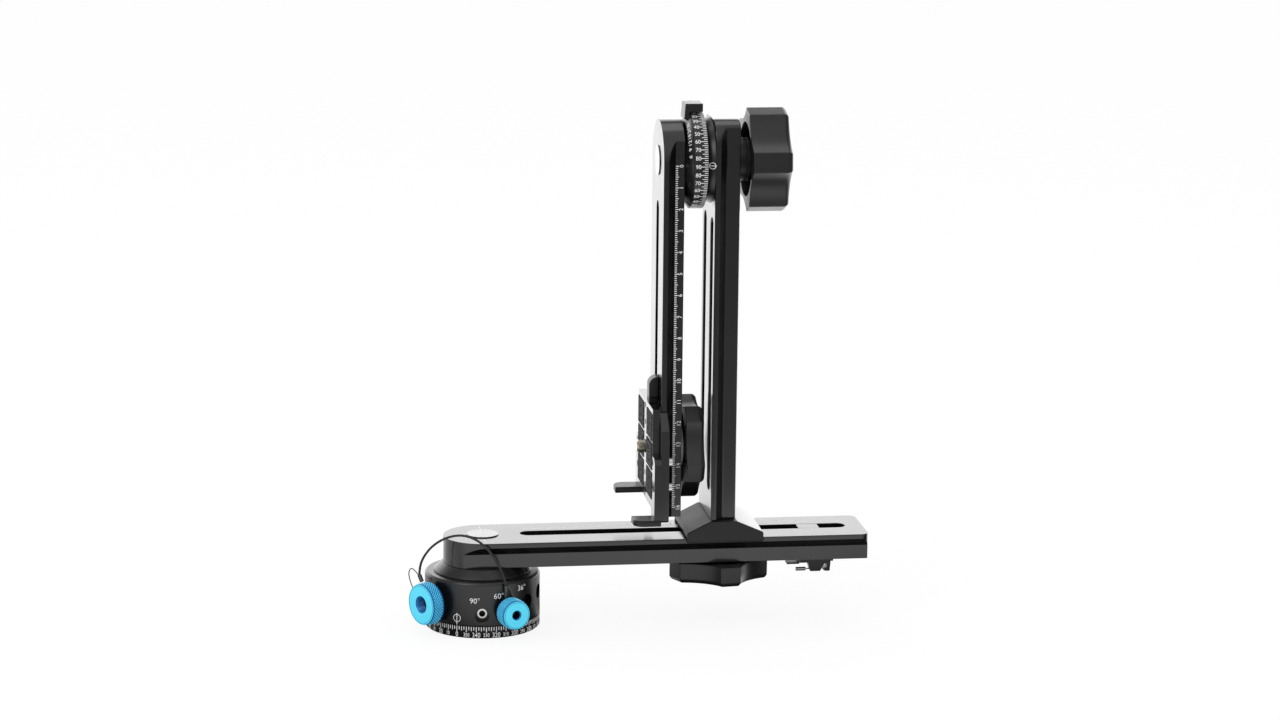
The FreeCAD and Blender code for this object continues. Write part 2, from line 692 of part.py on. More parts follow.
def make_plunger():
    angle, height = port_angle(PLUNGER_PORT), port_height(PLUNGER_PORT)
    bore = D.pin_radius + D.running_gap
    barrel = turned("plunger_barrel", (
        (bore, BARREL_START),
        (D.port_radius - D.seat_gap, BARREL_START),
        (D.port_radius - D.seat_gap, BARREL_END),
        (bore, BARREL_END),
        (bore, CHAMBER_END),
        (CHAMBER_RADIUS, CHAMBER_END),
        (CHAMBER_RADIUS, CHAMBER_START),
        (bore, CHAMBER_START),
    ))
    node(place_radial(barrel, angle, height), "plunger_barrel")

    tip_radius = D.detent_radius - PIN_TIP_CLEAR
    step = D.cup_radius + PIN_STEP
    collar_radius = CHAMBER_RADIUS - PIN_TIP_CLEAR
    collar = CHAMBER_START + D.slide_gap
    pin = turned("plunger_pin", (
        (0.0, D.pin_tip_reach),
        (tip_radius, D.pin_tip_reach),
        (tip_radius, step),
        (D.pin_radius, step + PIN_STEP),
        (D.pin_radius, collar),
        (collar_radius, collar),
        (collar_radius, collar + COLLAR_THICK),
        (D.pin_radius, collar + COLLAR_THICK),
        (D.pin_radius, PIN_END),
        (0.0, PIN_END),
    ))
    node(place_radial(pin, angle, height), "plunger_pin")

    spring_start = collar + COLLAR_THICK + D.plunger_travel + D.slide_gap + PLUNGER_WIRE
    pitch = (CHAMBER_END - D.slide_gap - PLUNGER_WIRE - spring_start) / PLUNGER_TURNS
    spring = coil("plunger_spring", (CHAMBER_RADIUS + D.pin_radius) / 2, PLUNGER_WIRE, pitch,
                  PLUNGER_TURNS, spring_start)
    node(place_radial(spring, angle, height), "plunger_spring")

    rim = KNOB_RIM
    hole_radius = 1.85
    knob = turned("plunger_knob", (
        (D.pin_radius + D.seat_gap, D.plunger_inner),
        (D.plunger_knob_radius - rim, D.plunger_inner),
        (D.plunger_knob_radius, D.plunger_inner + rim),
        (D.plunger_knob_radius, D.plunger_outer - rim),
        (D.plunger_knob_radius - rim, D.plunger_outer),
        (hole_radius, D.plunger_outer),
        (hole_radius, PIN_END),
        (D.pin_radius + D.seat_gap, PIN_END),
    ))
    node(place_radial(knob, angle, height), "plunger_knob")


def make_lock():
    pad_end = D.cup_radius + LOCK_PAD_INSET
    screw_end = D.lock_inner + LOCK_SCREW_GRIP
    tip = D.drum_radius + D.free_gap
    lock_pad = ring("lock_pad", 0.0, D.lock_screw_radius - D.running_gap, tip, pad_end)
    node(place_radial(lock_pad, D.lock_angle, D.lock_height), "lock_pad")
    shank = ring("lock_screw", 0.0, D.lock_screw_radius, pad_end + D.slide_gap, screw_end)
    node(place_radial(shank, D.lock_angle, D.lock_height), "lock_screw")
    rim = KNOB_RIM
    hole_radius = D.lock_screw_radius + LOCK_HOLE_ROOM
    knob = turned("lock_knob", (
        (D.lock_screw_radius + D.seat_gap, D.lock_inner),
        (D.lock_knob_radius - rim, D.lock_inner),
        (D.lock_knob_radius, D.lock_inner + rim),
        (D.lock_knob_radius, D.lock_outer - rim),
        (D.lock_knob_radius - rim, D.lock_outer),
        (hole_radius + rim, D.lock_outer),
        (hole_radius, D.lock_outer - rim),
        (hole_radius, screw_end),
        (D.lock_screw_radius + D.seat_gap, screw_end),
    ))
    node(place_radial(knob, D.lock_angle, D.lock_height), "lock_knob")


# ---------------------------------------------------------------- tether between the two blue knobs

CORD_RADIUS = 0.55
WIRE_RADIUS = 0.25
FERRULE_RADIUS = 1.0
LOOP_REACH = 28.2
CORD_ROUTE = (
    (-29.9, -5.45, 25.6), (-29.8, -5.7, 30.2), (-27.5, -7.6, 35.9), (-23.7, -10.6, 41.3),
    (-17.9, -14.5, 45.7), (-11.2, -18.5, 47.7), (-4.6, -21.9, 46.0), (0.4, -24.1, 41.6),
    (4.2, -25.6, 36.0), (6.8, -26.5, 30.6), (8.2, -27.0, 25.3),
)
LEFT_FERRULE_FOOT = (-28.9, -7.1, 22.9)
RIGHT_FERRULE_FOOT = (8.4, -26.6, 19.5)
LEFT_LOOP = ((-11.9, 25.2), (-16.6, 28.6), (-20.2, 25.2), (-17.6, 19.4), (-12.6, 14.4), (-7.0, 10.2),
             (-0.6, 8.4), (4.8, 11.2), (5.4, 17.0), (0.6, 20.6), (-5.2, 21.2), (-9.1, 22.2))
RIGHT_LOOP = ((-0.1, 24.8), (1.3, 22.6), (2.6, 19.6), (4.9, 16.4), (5.2, 12.0), (2.4, 8.3), (-2.4, 8.3),
              (-5.2, 12.0), (-4.8, 16.2), (-1.4, 19.0))


def on_wall(azimuth, reach, tangent, height):
    """A point in the upright plane that faces an azimuth, at a distance from the pan axis."""
    turn = math.radians(float(azimuth))
    return Vector(reach * math.sin(turn) + tangent * math.cos(turn),
                  -reach * math.cos(turn) + tangent * math.sin(turn), height)


def bent_tube(name, route, radius):
    """A round tube along straight runs that are joined by tangent arcs."""
    points = [Vector(*point) for point in route]
    edges = []
    radii = []
    here = points[0]
    length = 0.0
    for before, corner, after in zip(points, points[1:], points[2:]):
        arriving = (corner - before).normalize()
        leaving = (after - corner).normalize()
        turn = arriving.getAngle(leaving)
        reach = 0.45 * min((corner - before).Length, (after - corner).Length)
        start = corner - arriving * reach
        end = corner + leaving * reach
        bend = reach / math.tan(turn / 2)
        inward = (leaving - arriving).normalize()
        middle = corner + inward * (bend / math.cos(turn / 2) - bend)
        edges.append(Part.LineSegment(here, start).toShape())
        edges.append(Part.Arc(start, middle, end).toShape())
        length += (start - here).Length + bend * turn
        radii.append(bend)
        here = end
    edges.append(Part.LineSegment(here, points[-1]).toShape())
    length += (points[-1] - here).Length
    path = Part.Wire(edges)
    direction = (points[1] - points[0]).normalize()
    section = Part.Wire([Part.Circle(points[0], direction, radius).toShape()])
    tube = path.makePipeShell([section], True, True)
    ratio = tube.Volume / (math.pi * radius ** 2 * length)
    print("%s: length %.1f, volume ratio %.4f, radii %s" % (
        name, length, ratio, " ".join("%.1f" % bend for bend in radii)))
    return tube


def as_feature(name, shape):
    item = doc.addObject("Part::Feature", name)
    item.Shape = shape
    item.Placement = Placement()
    return item


def ferrule(name, foot, top):
    low, high = Vector(*foot), Vector(*top)
    item = doc.addObject("Part::Cylinder", name)
    item.Radius = FERRULE_RADIUS
    item.Height = (high - low).Length
    item.Placement = Placement(low, Rotation(Vector(0, 0, 1), high - low))
    return item


def make_tether():
    node(as_feature("tether_cord", bent_tube("tether_cord", CORD_ROUTE, CORD_RADIUS)), "tether_cord")
    group("tether_ferrules", [
        ferrule("left_ferrule", LEFT_FERRULE_FOOT, CORD_ROUTE[0]),
        ferrule("right_ferrule", RIGHT_FERRULE_FOOT, CORD_ROUTE[-1]),
    ])
    loops = []
    for name, angle, places in (("left_loop", D.lock_angle, LEFT_LOOP),
                                ("right_loop", port_angle(PLUNGER_PORT), RIGHT_LOOP)):
        route = [on_wall(angle, LOOP_REACH, tangent, height) for tangent, height in places]
        loops.append(as_feature(name, bent_tube(name, route, WIRE_RADIUS)))
    group("tether_loops", loops)


# ---------------------------------------------------------------- rails

RAIL_HALF = D.rail_width / 2
LIP_OUTWARDS = Rotation(Vector(0, 0, -1), Vector(0, -1, 0), Vector(-1, 0, 0), "XYZ")


def rail_blank(name, start, end, thick, plan):
    """A rail along local +X with its lips on top, trimmed to a plan outline."""
    waist = RAIL_HALF - D.rail_recess
    lip = thick - D.rail_lip
    shoulder = lip - D.rail_slope
    profile = extruded(name + "_profile", "YZ_Plane", start, end, (
        (-waist, 0.0),
        (waist, 0.0),
        (waist, shoulder),
        (RAIL_HALF, lip),
        (RAIL_HALF, thick),
        (-RAIL_HALF, thick),
        (-RAIL_HALF, lip),
        (-waist, shoulder),
    ))
    shape = extruded(name + "_plan", "XY_Plane", 0.0, thick, plan)
    return common(name + "_blank", profile, shape)


def round_plan(start, reach):
    """A plan with a full round end, centred at start, and small corners at the far end."""
    corner = D.rail_corner
    return (
        (start, -RAIL_HALF),
        (reach - corner, -RAIL_HALF, corner),
        (reach, corner - RAIL_HALF),
        (reach, RAIL_HALF - corner, corner),
        (reach - corner, RAIL_HALF),
        (start, RAIL_HALF, RAIL_HALF),
        (start - RAIL_HALF, 0.0, RAIL_HALF),
    )


def slot_cutter(name, low, high, width, depth, middle=0.0):
    body = new_body(name)
    sketch = sketch_on(body, "XY_Plane", -OVERRUN)
    outline(sketch, slot_corners(low, high, width / 2, middle))
    pad(body, sketch, depth + 2 * OVERRUN)
    return body


def make_lower_arm():
    reach = D.lower_arm_reach
    blank = rail_blank("lower_arm", -RAIL_HALF, reach, D.lower_arm_thick, round_plan(0.0, reach))
    slot = slot_cutter("lower_arm_slot", D.lower_slot_start, D.lower_slot_end, D.lower_slot_width,
                       D.lower_arm_thick)
    seat = cylinder("lower_cap_seat", D.cap_radius + D.seat_gap, D.lower_arm_thick - D.cap_depth,
                    D.lower_arm_thick + OVERRUN)
    arm = place(cut("lower_arm_milled", blank, fuse("lower_arm_cuts", slot, seat)), z=D.lower_arm_bottom)
    holes = screw_holes("lower_arm_hole", MEDIUM, ARM_SCREW_LENGTH, ARM_SCREW_PLACES, SHANK_UP, 0.0)
    node(drilled("lower_arm", arm, holes), "lower_arm")
    top = D.lower_arm_bottom + D.lower_arm_thick
    node(ring("lower_arm_cap", 0.0, D.cap_radius, top - D.cap_depth, top + D.cap_proud), "lower_arm_cap")


# ---------------------------------------------------------------- foot and upright

STUD_RADIUS = D.lower_slot_width / 2 - 2 * D.running_gap
ARM_TOP = D.lower_arm_bottom + D.lower_arm_thick
STUD_WALL = 2.0   # what the clamp stud leaves of the foot and of its knob over its ends
STUD_TOP = D.foot_top - STUD_WALL
STUD_BOTTOM = D.lower_knob_bottom + STUD_WALL
FOOT_MIDDLE = D.upright_start + D.upright_thick / 2
FOOT_SCREW_LENGTH = 18.0
FOOT_SCREW_OFFSET = 12.0
FOOT_SCREW_PLACES = [(FOOT_MIDDLE, side * FOOT_SCREW_OFFSET, ARM_TOP + HEAD_INSET) for side in (-1, 1)]
HUB_BORE = D.shaft_radius + D.running_gap
HUB_WALL = 3.0
HUB_SLEEVE = D.shaft_radius + HUB_WALL
BALL_RADIUS = 1.5
BALL_CIRCLE = 14.8
BALL_INSET = 1.35
BALL_CENTRE = D.hub_start + BALL_INSET
POCKET_DEPTH = 4.2
DETENT_POCKET_END = D.upright_start + POCKET_DEPTH
DETENT_WIRE = 0.2   # radius of the spring's wire
DETENT_TURNS = 5
DETENT_COIL = 1.2
FOOT_FLAT_FRONT = 0.3   # flat of the foot in front of the upright, and behind it
FOOT_FLAT_BACK = 0.1
CHANNEL_GAP = 0.2   # side play of the foot on the rail


def make_foot():
    flat = (D.upright_start - FOOT_FLAT_FRONT, D.upright_start + D.upright_thick + FOOT_FLAT_BACK)
    blank = extruded("foot_blank", "XZ_Plane", -D.foot_half_width, D.foot_half_width, (
        (D.foot_start, D.foot_skirt_bottom),
        (D.foot_end, D.foot_skirt_bottom),
        (D.foot_end, D.foot_wall_top),
        (flat[1], D.foot_top),
        (flat[0], D.foot_top),
        (D.foot_start, D.foot_wall_top),
    ))
    side = RAIL_HALF + CHANNEL_GAP
    channel = box("foot_channel", (D.foot_start - OVERRUN, D.foot_end + OVERRUN), (-side, side),
                  (D.foot_skirt_bottom - OVERRUN, ARM_TOP + D.slide_gap))
    bore = place(cylinder("stud_seat", STUD_RADIUS + D.seat_gap, 0.0, STUD_TOP - ARM_TOP + OVERRUN),
                 FOOT_MIDDLE, 0.0, ARM_TOP - OVERRUN)
    holes = screw_holes("foot_hole", LARGE, FOOT_SCREW_LENGTH, FOOT_SCREW_PLACES, SHANK_UP)
    node(drilled("foot_block", blank, [channel, bore] + holes), "foot_block")
    screws("foot_screws", LARGE, FOOT_SCREW_LENGTH, FOOT_SCREW_PLACES, SHANK_UP)
    stud = cylinder("lower_clamp_stud", STUD_RADIUS, 0.0, STUD_TOP - STUD_BOTTOM)
    node(place(stud, FOOT_MIDDLE, 0.0, STUD_BOTTOM), "lower_clamp_stud")


def make_upright():
    top = D.pivot_height - D.upright_top
    foot = D.pivot_height - D.foot_top
    corner = D.upright_corner
    blank = rail_blank("upright", top, foot, D.upright_thick, (
        (top + corner, -RAIL_HALF),
        (foot, -RAIL_HALF),
        (foot, RAIL_HALF),
        (top + corner, RAIL_HALF, corner),
        (top, RAIL_HALF - corner),
        (top, corner - RAIL_HALF, corner),
    ))
    cutters = [cylinder("upright_bore", HUB_SLEEVE + D.seat_gap, -OVERRUN, D.upright_thick + OVERRUN)]
    for index, side in enumerate((-1, 1)):
        cutters.append(slot_cutter("upright_slot_%d" % index, D.pivot_height - D.upright_slot_top,
                                   D.pivot_height - D.upright_slot_bottom, D.upright_slot_width,
                                   D.upright_thick, D.upright_slot_offset * side))
    milled = cut("upright_milled", blank, fuse("upright_cuts", *cutters))
    place(milled, D.upright_start + D.upright_thick, 0.0, D.pivot_height, LIP_OUTWARDS)
    pocket_hole = cylinder("upright_pocket", BALL_RADIUS + D.running_gap, 0.0,
                           DETENT_POCKET_END - D.upright_start + OVERRUN)
    place(pocket_hole, D.upright_start - OVERRUN, 0.0, D.pivot_height + BALL_CIRCLE, ALONG_X)
    holes = screw_holes("upright_hole", LARGE, FOOT_SCREW_LENGTH, FOOT_SCREW_PLACES, SHANK_UP, 0.0)
    node(drilled("upright", milled, [pocket_hole] + holes), "upright")


def make_index_hub():
    hub = turned("index_hub_blank", (
        (HUB_BORE, D.hub_start),
        (D.hub_radius, D.hub_start),
        (D.hub_base_radius, D.upright_start),
        (HUB_SLEEVE, D.upright_start),
        (HUB_SLEEVE, D.upright_start + D.upright_thick),
        (HUB_BORE, D.upright_start + D.upright_thick),
    ))
    place(hub, 0.0, 0.0, D.pivot_height, ALONG_X)
    hole = cylinder("hub_pocket", BALL_RADIUS + D.running_gap, 0.0,
                    D.upright_start - D.hub_start + 2 * OVERRUN)
    place(hole, D.hub_start - OVERRUN, 0.0, D.pivot_height + BALL_CIRCLE, ALONG_X)
    node(drilled("index_hub", hub, [hole]), "index_hub")

    ball = doc.addObject("Part::Sphere", "detent_ball")
    bind(ball, "Radius", BALL_RADIUS)
    node(place(ball, BALL_CENTRE, 0.0, D.pivot_height + BALL_CIRCLE), "detent_ball")
    start = BALL_CENTRE + BALL_RADIUS + D.slide_gap + DETENT_WIRE
    pitch = (DETENT_POCKET_END - D.slide_gap - DETENT_WIRE - start) / DETENT_TURNS
    spring = coil("detent_spring", DETENT_COIL, DETENT_WIRE, pitch, DETENT_TURNS, start)
    node(place(spring, 0.0, 0.0, D.pivot_height + BALL_CIRCLE, ALONG_X), "detent_spring")


# ---------------------------------------------------------------- tilting part

SHAFT_FLANGE = 3.5
DIMPLES = 24
DIMPLE_RADIUS = 0.9
DIMPLE_DEPTH = 0.5
UPPER_ARM_BACK = D.upper_arm_start + D.upper_arm_thick
DIAL_SCREW_LENGTH = 16.0
DIAL_SCREW_CIRCLE = 9.9
DIAL_SCREW_PLACES = [(D.dial_end - HEAD_INSET, y, D.pivot_height + z)
                     for y, z in ring_places(3, DIAL_SCREW_CIRCLE, 30.0)]


def make_tilt_unit():
    flange_start = D.upper_arm_start + D.cap_depth
    flange_end = flange_start + SHAFT_FLANGE
    shaft = turned("tilt_shaft", (
        (0.0, flange_start + D.seat_gap),
        (D.pivot_cap_radius, flange_start + D.seat_gap),
        (D.pivot_cap_radius, flange_end - D.seat_gap),
        (D.shaft_radius, flange_end - D.seat_gap),
        (D.shaft_radius, D.shaft_end),
        (0.0, D.shaft_end),
    ))
    node(place(shaft, 0.0, 0.0, D.pivot_height, ALONG_X), "tilt_shaft")
    cap = ring("upper_arm_cap", 0.0, D.pivot_cap_radius, D.upper_arm_start - D.cap_proud, flange_start)
    node(place(cap, 0.0, 0.0, D.pivot_height, ALONG_X), "upper_arm_cap")

    reach = D.pivot_height - D.upper_arm_bottom
    rise = -D.upper_arm_rise
    blank = rail_blank("upper_arm", rise - RAIL_HALF, reach, D.upper_arm_thick, round_plan(rise, reach))
    slot = slot_cutter("upper_arm_slot", D.pivot_height - D.upper_slot_top,
                       D.pivot_height - D.upper_slot_bottom, D.upper_slot_width, D.upper_arm_thick)
    seat = cylinder("flange_seat", D.pivot_cap_radius + D.seat_gap,
                    D.upper_arm_thick - D.cap_depth - SHAFT_FLANGE, D.upper_arm_thick + OVERRUN)
    bore = cylinder("shaft_seat", D.shaft_radius + D.seat_gap, -OVERRUN, D.upper_arm_thick)
    milled = cut("upper_arm_milled", blank, fuse("upper_arm_cuts", slot, seat, bore))
    place(milled, UPPER_ARM_BACK, 0.0, D.pivot_height, LIP_OUTWARDS)
    holes = screw_holes("upper_arm_hole", MEDIUM, DIAL_SCREW_LENGTH, DIAL_SCREW_PLACES, ALONG_X, 0.0)
    node(drilled("upper_arm", milled, holes), "upper_arm")

    edge = 0.3
    dial = turned("dial_blank", (
        (D.shaft_radius + D.seat_gap, UPPER_ARM_BACK),
        (D.dial_boss_radius, UPPER_ARM_BACK),
        (D.dial_boss_radius, D.dial_start),
        (D.dial_radius - edge, D.dial_start),
        (D.dial_radius, D.dial_start + edge),
        (D.dial_radius, D.dial_end - edge),
        (D.dial_radius - edge, D.dial_end),
        (D.shaft_radius + D.seat_gap, D.dial_end),
    ))
    place(dial, 0.0, 0.0, D.pivot_height, ALONG_X)
    holes = screw_holes("dial_hole", MEDIUM, DIAL_SCREW_LENGTH, DIAL_SCREW_PLACES, ALONG_X)
    for index, (y, z) in enumerate(ring_places(DIMPLES, BALL_CIRCLE, 90.0)):
        dimple = cylinder("dimple_%d" % index, DIMPLE_RADIUS, 0.0, DIMPLE_DEPTH + OVERRUN)
        holes.append(place(dimple, D.dial_end - DIMPLE_DEPTH, y, D.pivot_height + z, ALONG_X))
    node(drilled("graduated_dial", dial, holes), "graduated_dial")
    screws("dial_screws", MEDIUM, DIAL_SCREW_LENGTH, DIAL_SCREW_PLACES, ALONG_X)


TAB_ROOT = 2.6
TAB_FRONT = 0.8
TAB_LEAN = 0.5
TAB_SHORT = 0.7   # how far the tab's end stays short of the index hub


def make_selector_ring():
    low = UPPER_ARM_BACK + 2 * D.slide_gap
    high = D.dial_start - 2 * D.slide_gap
    bevelled = turned("selector_bevel", (
        (D.dial_boss_radius + D.running_gap, low),
        (D.selector_small_radius, low),
        (D.selector_radius, high),
        (D.dial_boss_radius + D.running_gap, high),
    ))
    place(bevelled, 0.0, 0.0, D.pivot_height, ALONG_X)
    half = D.tab_width / 2
    root = D.pivot_height + D.selector_radius - TAB_ROOT
    under = D.pivot_height + D.tab_inner_radius
    top = D.pivot_height + D.tab_outer_radius
    foot = low + TAB_FRONT
    end = D.hub_start - TAB_SHORT
    tab = extruded("selector_tab", "XZ_Plane", -half, half, (
        (foot, root),
        (high, root),
        (high, under),
        (end, under),
        (end, top),
        (foot + TAB_LEAN, top),
    ))
    node(fuse("selector_ring", bevelled, tab), "selector_ring")


# ---------------------------------------------------------------- lobed clamp knobs

LOBES = 5
KNOB_WALL = 2.4
BOSS_WALL = 2.0
INSERT_BACKSET = 1.5
SKIN = 1.2   # what a stud leaves of a knob over its end
INSERT_RADIUS = 8.0
PLATE_INSERT_RADIUS = 6.5
WASHER_RADIUS = 10.0
SHAFT_ROOM = 0.6   # room beyond the tilt shaft's end in the top knob
# Angle of the first narrow flat and depth of the hollow in each knob's inner face.
TOP_KNOB_TURN, TOP_KNOB_CAVITY = 49.8, 7.0
LOWER_KNOB_TURN, LOWER_KNOB_CAVITY = 82.6, 4.5
PLATE_KNOB_TURN, PLATE_KNOB_CAVITY = 4.0, 3.5


def lobe_corners(first_angle):
    """Five narrow flats joined by five wide hollow facets, counterclockwise."""
    half = float(D.knob_narrow_angle) / 2
    wide = 360.0 / LOBES - 2 * half
    chord = D.knob_radius * (2 * math.sin(math.radians(wide / 2)))
    hollow = D.knob_hollow
    bend = (chord * chord / 4 + hollow * hollow) / (hollow * 2)
    corners = []
    for index in range(LOBES):
        middle = first_angle + 360.0 * index / LOBES
        for angle, extra in ((middle - half, ()), (middle + half, (-bend,))):
            turn = math.radians(angle)
            corners.append((D.knob_radius * math.cos(turn), D.knob_radius * math.sin(turn)) + extra)
    return corners


def clamp_knob(name, length, first_angle, hollow_depth, insert_radius, stud_radius, stud_reach,
               rotation, base, key_radius=0.0):
    """A lobed knob from its inner face at local zero to its outer face, with its threaded insert."""
    blank = extruded(name + "_lobes", "XY_Plane", 0.0, length, lobe_corners(first_angle))
    rounded = fillet(name + "_round", blank, D.knob_edge,
                     lambda edge, middle: abs(middle.z - float(length)) < 1e-4)
    facet = D.knob_radius * math.cos(math.pi / LOBES - math.radians(float(D.knob_narrow_angle) / 2))
    rim = facet - D.knob_hollow - KNOB_WALL
    boss = insert_radius + BOSS_WALL
    cutters = [
        cylinder(name + "_seat", insert_radius + D.seat_gap, -OVERRUN, stud_reach),
        ring(name + "_hollow", boss, rim, -OVERRUN, hollow_depth),
    ]
    if key_radius:
        cutters.append(cylinder(name + "_key", key_radius, 0.0, length + OVERRUN))
    knob = cut(name, rounded, fuse(name + "_cuts", *cutters))
    node(place(knob, *base, rotation), name)
    insert = ring(name + "_insert", stud_radius + D.running_gap, insert_radius,
                  0.0, stud_reach - INSERT_BACKSET)
    node(place(insert, *base, rotation), name + "_insert")


def make_clamps():
    top_length = D.top_knob_end - D.top_knob_start
    clamp_knob("top_knob", top_length, TOP_KNOB_TURN, TOP_KNOB_CAVITY, INSERT_RADIUS, D.shaft_radius,
               D.shaft_end - D.top_knob_start + SHAFT_ROOM, ALONG_X,
               (D.top_knob_start, 0.0, D.pivot_height))
    washer = ring("top_knob_washer", D.shaft_radius + D.running_gap, WASHER_RADIUS,
                  D.upright_start + D.upright_thick + D.slide_gap, D.top_knob_start - D.slide_gap)
    node(place(washer, 0.0, 0.0, D.pivot_height, ALONG_X), "top_knob_washer")

    lower_length = D.lower_knob_top - D.lower_knob_bottom
    facing_down = Rotation(Vector(1, 0, 0), 180)
    clamp_knob("lower_clamp_knob", lower_length, LOWER_KNOB_TURN, LOWER_KNOB_CAVITY, INSERT_RADIUS,
               STUD_RADIUS, lower_length - SKIN, facing_down, (FOOT_MIDDLE, 0.0, D.lower_knob_top))
    washer = ring("lower_clamp_washer", STUD_RADIUS + D.running_gap, WASHER_RADIUS,
                  D.lower_knob_top + D.slide_gap, D.lower_arm_bottom - D.slide_gap)
    node(place(washer, FOOT_MIDDLE, 0.0, 0.0), "lower_clamp_washer")

    plate_length = D.plate_knob_end - D.plate_knob_start
    clamp_knob("plate_clamp_knob", plate_length, PLATE_KNOB_TURN, PLATE_KNOB_CAVITY, PLATE_INSERT_RADIUS,
               PLATE_STUD_RADIUS, plate_length - SKIN, ALONG_X,
               (D.plate_knob_start, 0.0, D.camera_axis_height), KEY_RADIUS)
    washer = ring("plate_clamp_washer", PLATE_STUD_RADIUS + D.running_gap, WASHER_RADIUS,
                  UPPER_ARM_BACK + D.slide_gap, D.plate_knob_start - D.slide_gap)
    node(place(washer, 0.0, 0.0, D.camera_axis_height, ALONG_X), "plate_clamp_washer")


# ---------------------------------------------------------------- camera carriage

PLATE_STUD_RADIUS = D.upper_slot_width / 2 - D.running_gap
KEY_RADIUS = 1.7
HEAD_RADIUS = 6.5
HEAD_THICK = 1.6
SCREW_CHAMFER = 0.7
SCREW_NECK = 2.6
SCREW_KEY = 3.0
SCREW_KEY_DEPTH = 3.1
STUD_BACKSET = 1.7
RIB_CLEAR = 0.1
RIB_HALF = RAIL_HALF - RIB_CLEAR
STUD_FLANGE_RADIUS = 8.0
PLATE_SKIN = 1.4   # what the head's recess leaves of the plate
CAMERA_HEAD_START = D.plate_front + PLATE_SKIN
THROUGH = 6.0
PIN_HOLE_OFFSETS = (-22.4, -12.4, 11.6, 19.6)
PIN_HOLE_RADIUS = 1.3
PIN_HOLE_DEPTH = 1.4
BAR_SCREW_LENGTH = 7.9
BAR_HOLE_DEPTH = 2.0
BAR_BEVEL_DROP = 0.6
BAR_SCREW_PLACES = [(D.bar_end + SMALL.height, side * D.bar_screw_offset, height)
                    for side in (-1, 1) for height in (D.bar_screw_low, D.bar_screw_high)]
FIN_CORNER = 4.0
FIN_NOTCHES = (-1.5, 2.5, 6.5)
FIN_NOTCH_WIDTH = 2.0
FIN_NOTCH_HEIGHT = 2.8
LUG_INNER = D.wing_half_width - D.lug_width
LUG_MIDDLE = D.wing_half_width - D.lug_width / 2
LUG_SMALL_CORNER = 0.8
LUG_SCREW_WALL = 0.2   # what a screw's head leaves of the lug behind it
LUG_SCREW_LENGTH = 8.0
LUG_SCREW_PLACES = [(D.lug_end - LUG_SCREW_WALL - FINE.head, side * LUG_MIDDLE, bottom + HEAD_INSET)
                    for side, bottom in ((-1, D.near_lug_bottom), (1, D.far_lug_bottom))]
PLATE_NEAR_EDGE = D.near_lug_bottom + D.lug_thick
PLATE_FAR_EDGE = D.far_lug_bottom + D.lug_thick


def make_plate():
    wide, half, corner = D.wing_half_width, D.plate_half_width, D.wing_corner
    plate = extruded("plate_sheet", "YZ_Plane", D.plate_front, D.plate_back, (
        (-wide, PLATE_NEAR_EDGE),
        (-LUG_INNER, PLATE_NEAR_EDGE),
        (-LUG_INNER, PLATE_FAR_EDGE),
        (wide, PLATE_FAR_EDGE),
        (wide, D.wing_top - corner, corner),
        (wide - corner, D.wing_top),
        (half, D.wing_top),
        (half, D.plate_top),
        (-half, D.plate_top),
        (-half, D.wing_top),
        (corner - wide, D.wing_top, corner),
        (-wide, D.wing_top - corner),
    ))
    rib = box("plate_rib", (D.plate_back, D.plate_rib_back), (-RIB_HALF, RIB_HALF),
              (PLATE_FAR_EDGE, D.plate_top))
    centre = D.camera_axis_height
    screw_hole = place(cylinder("camera_screw_hole", D.camera_screw_radius + D.running_gap, 0.0, THROUGH),
                       D.plate_front - OVERRUN, 0.0, centre, ALONG_X)
    recess = place(cylinder("head_recess", STUD_FLANGE_RADIUS + D.running_gap, 0.0, THROUGH),
                   CAMERA_HEAD_START, 0.0, centre, ALONG_X)
    holes = [screw_hole, recess]
    for index, offset in enumerate(PIN_HOLE_OFFSETS):
        hole = cylinder("plate_hole_%d" % index, PIN_HOLE_RADIUS, 0.0, PIN_HOLE_DEPTH + OVERRUN)
        holes.append(place(hole, D.plate_front - OVERRUN, 0.0, centre + offset, ALONG_X))
    holes += screw_holes("bar_plate_hole", SMALL, BAR_SCREW_LENGTH, BAR_SCREW_PLACES, ALONG_X, 0.0)
    for index, (x, y, z) in enumerate(BAR_SCREW_PLACES):
        through = cylinder("bar_through_%d" % index, SMALL.shank, 0.0, BAR_HOLE_DEPTH + OVERRUN)
        holes.append(place(through, D.plate_front - OVERRUN, y, z, ALONG_X))
    holes += screw_holes("lug_plate_hole", FINE, LUG_SCREW_LENGTH, LUG_SCREW_PLACES, SHANK_UP, 0.0)
    node(drilled("camera_plate", fuse("plate_blank", plate, rib), holes), "camera_plate")

    pads = []
    columns = ((-D.pad_outer, -D.pad_inner), (D.pad_inner, D.pad_outer))
    for row in range(3):
        low = D.pad_first + D.pad_pitch * row
        for column, (near, far) in enumerate(columns):
            pads.append(box("pad_%d_%d" % (row, column), (D.plate_front - D.pad_thick, D.plate_front),
                            (near, far), (low, low + D.pad_height)))
    group("plate_pads", pads)


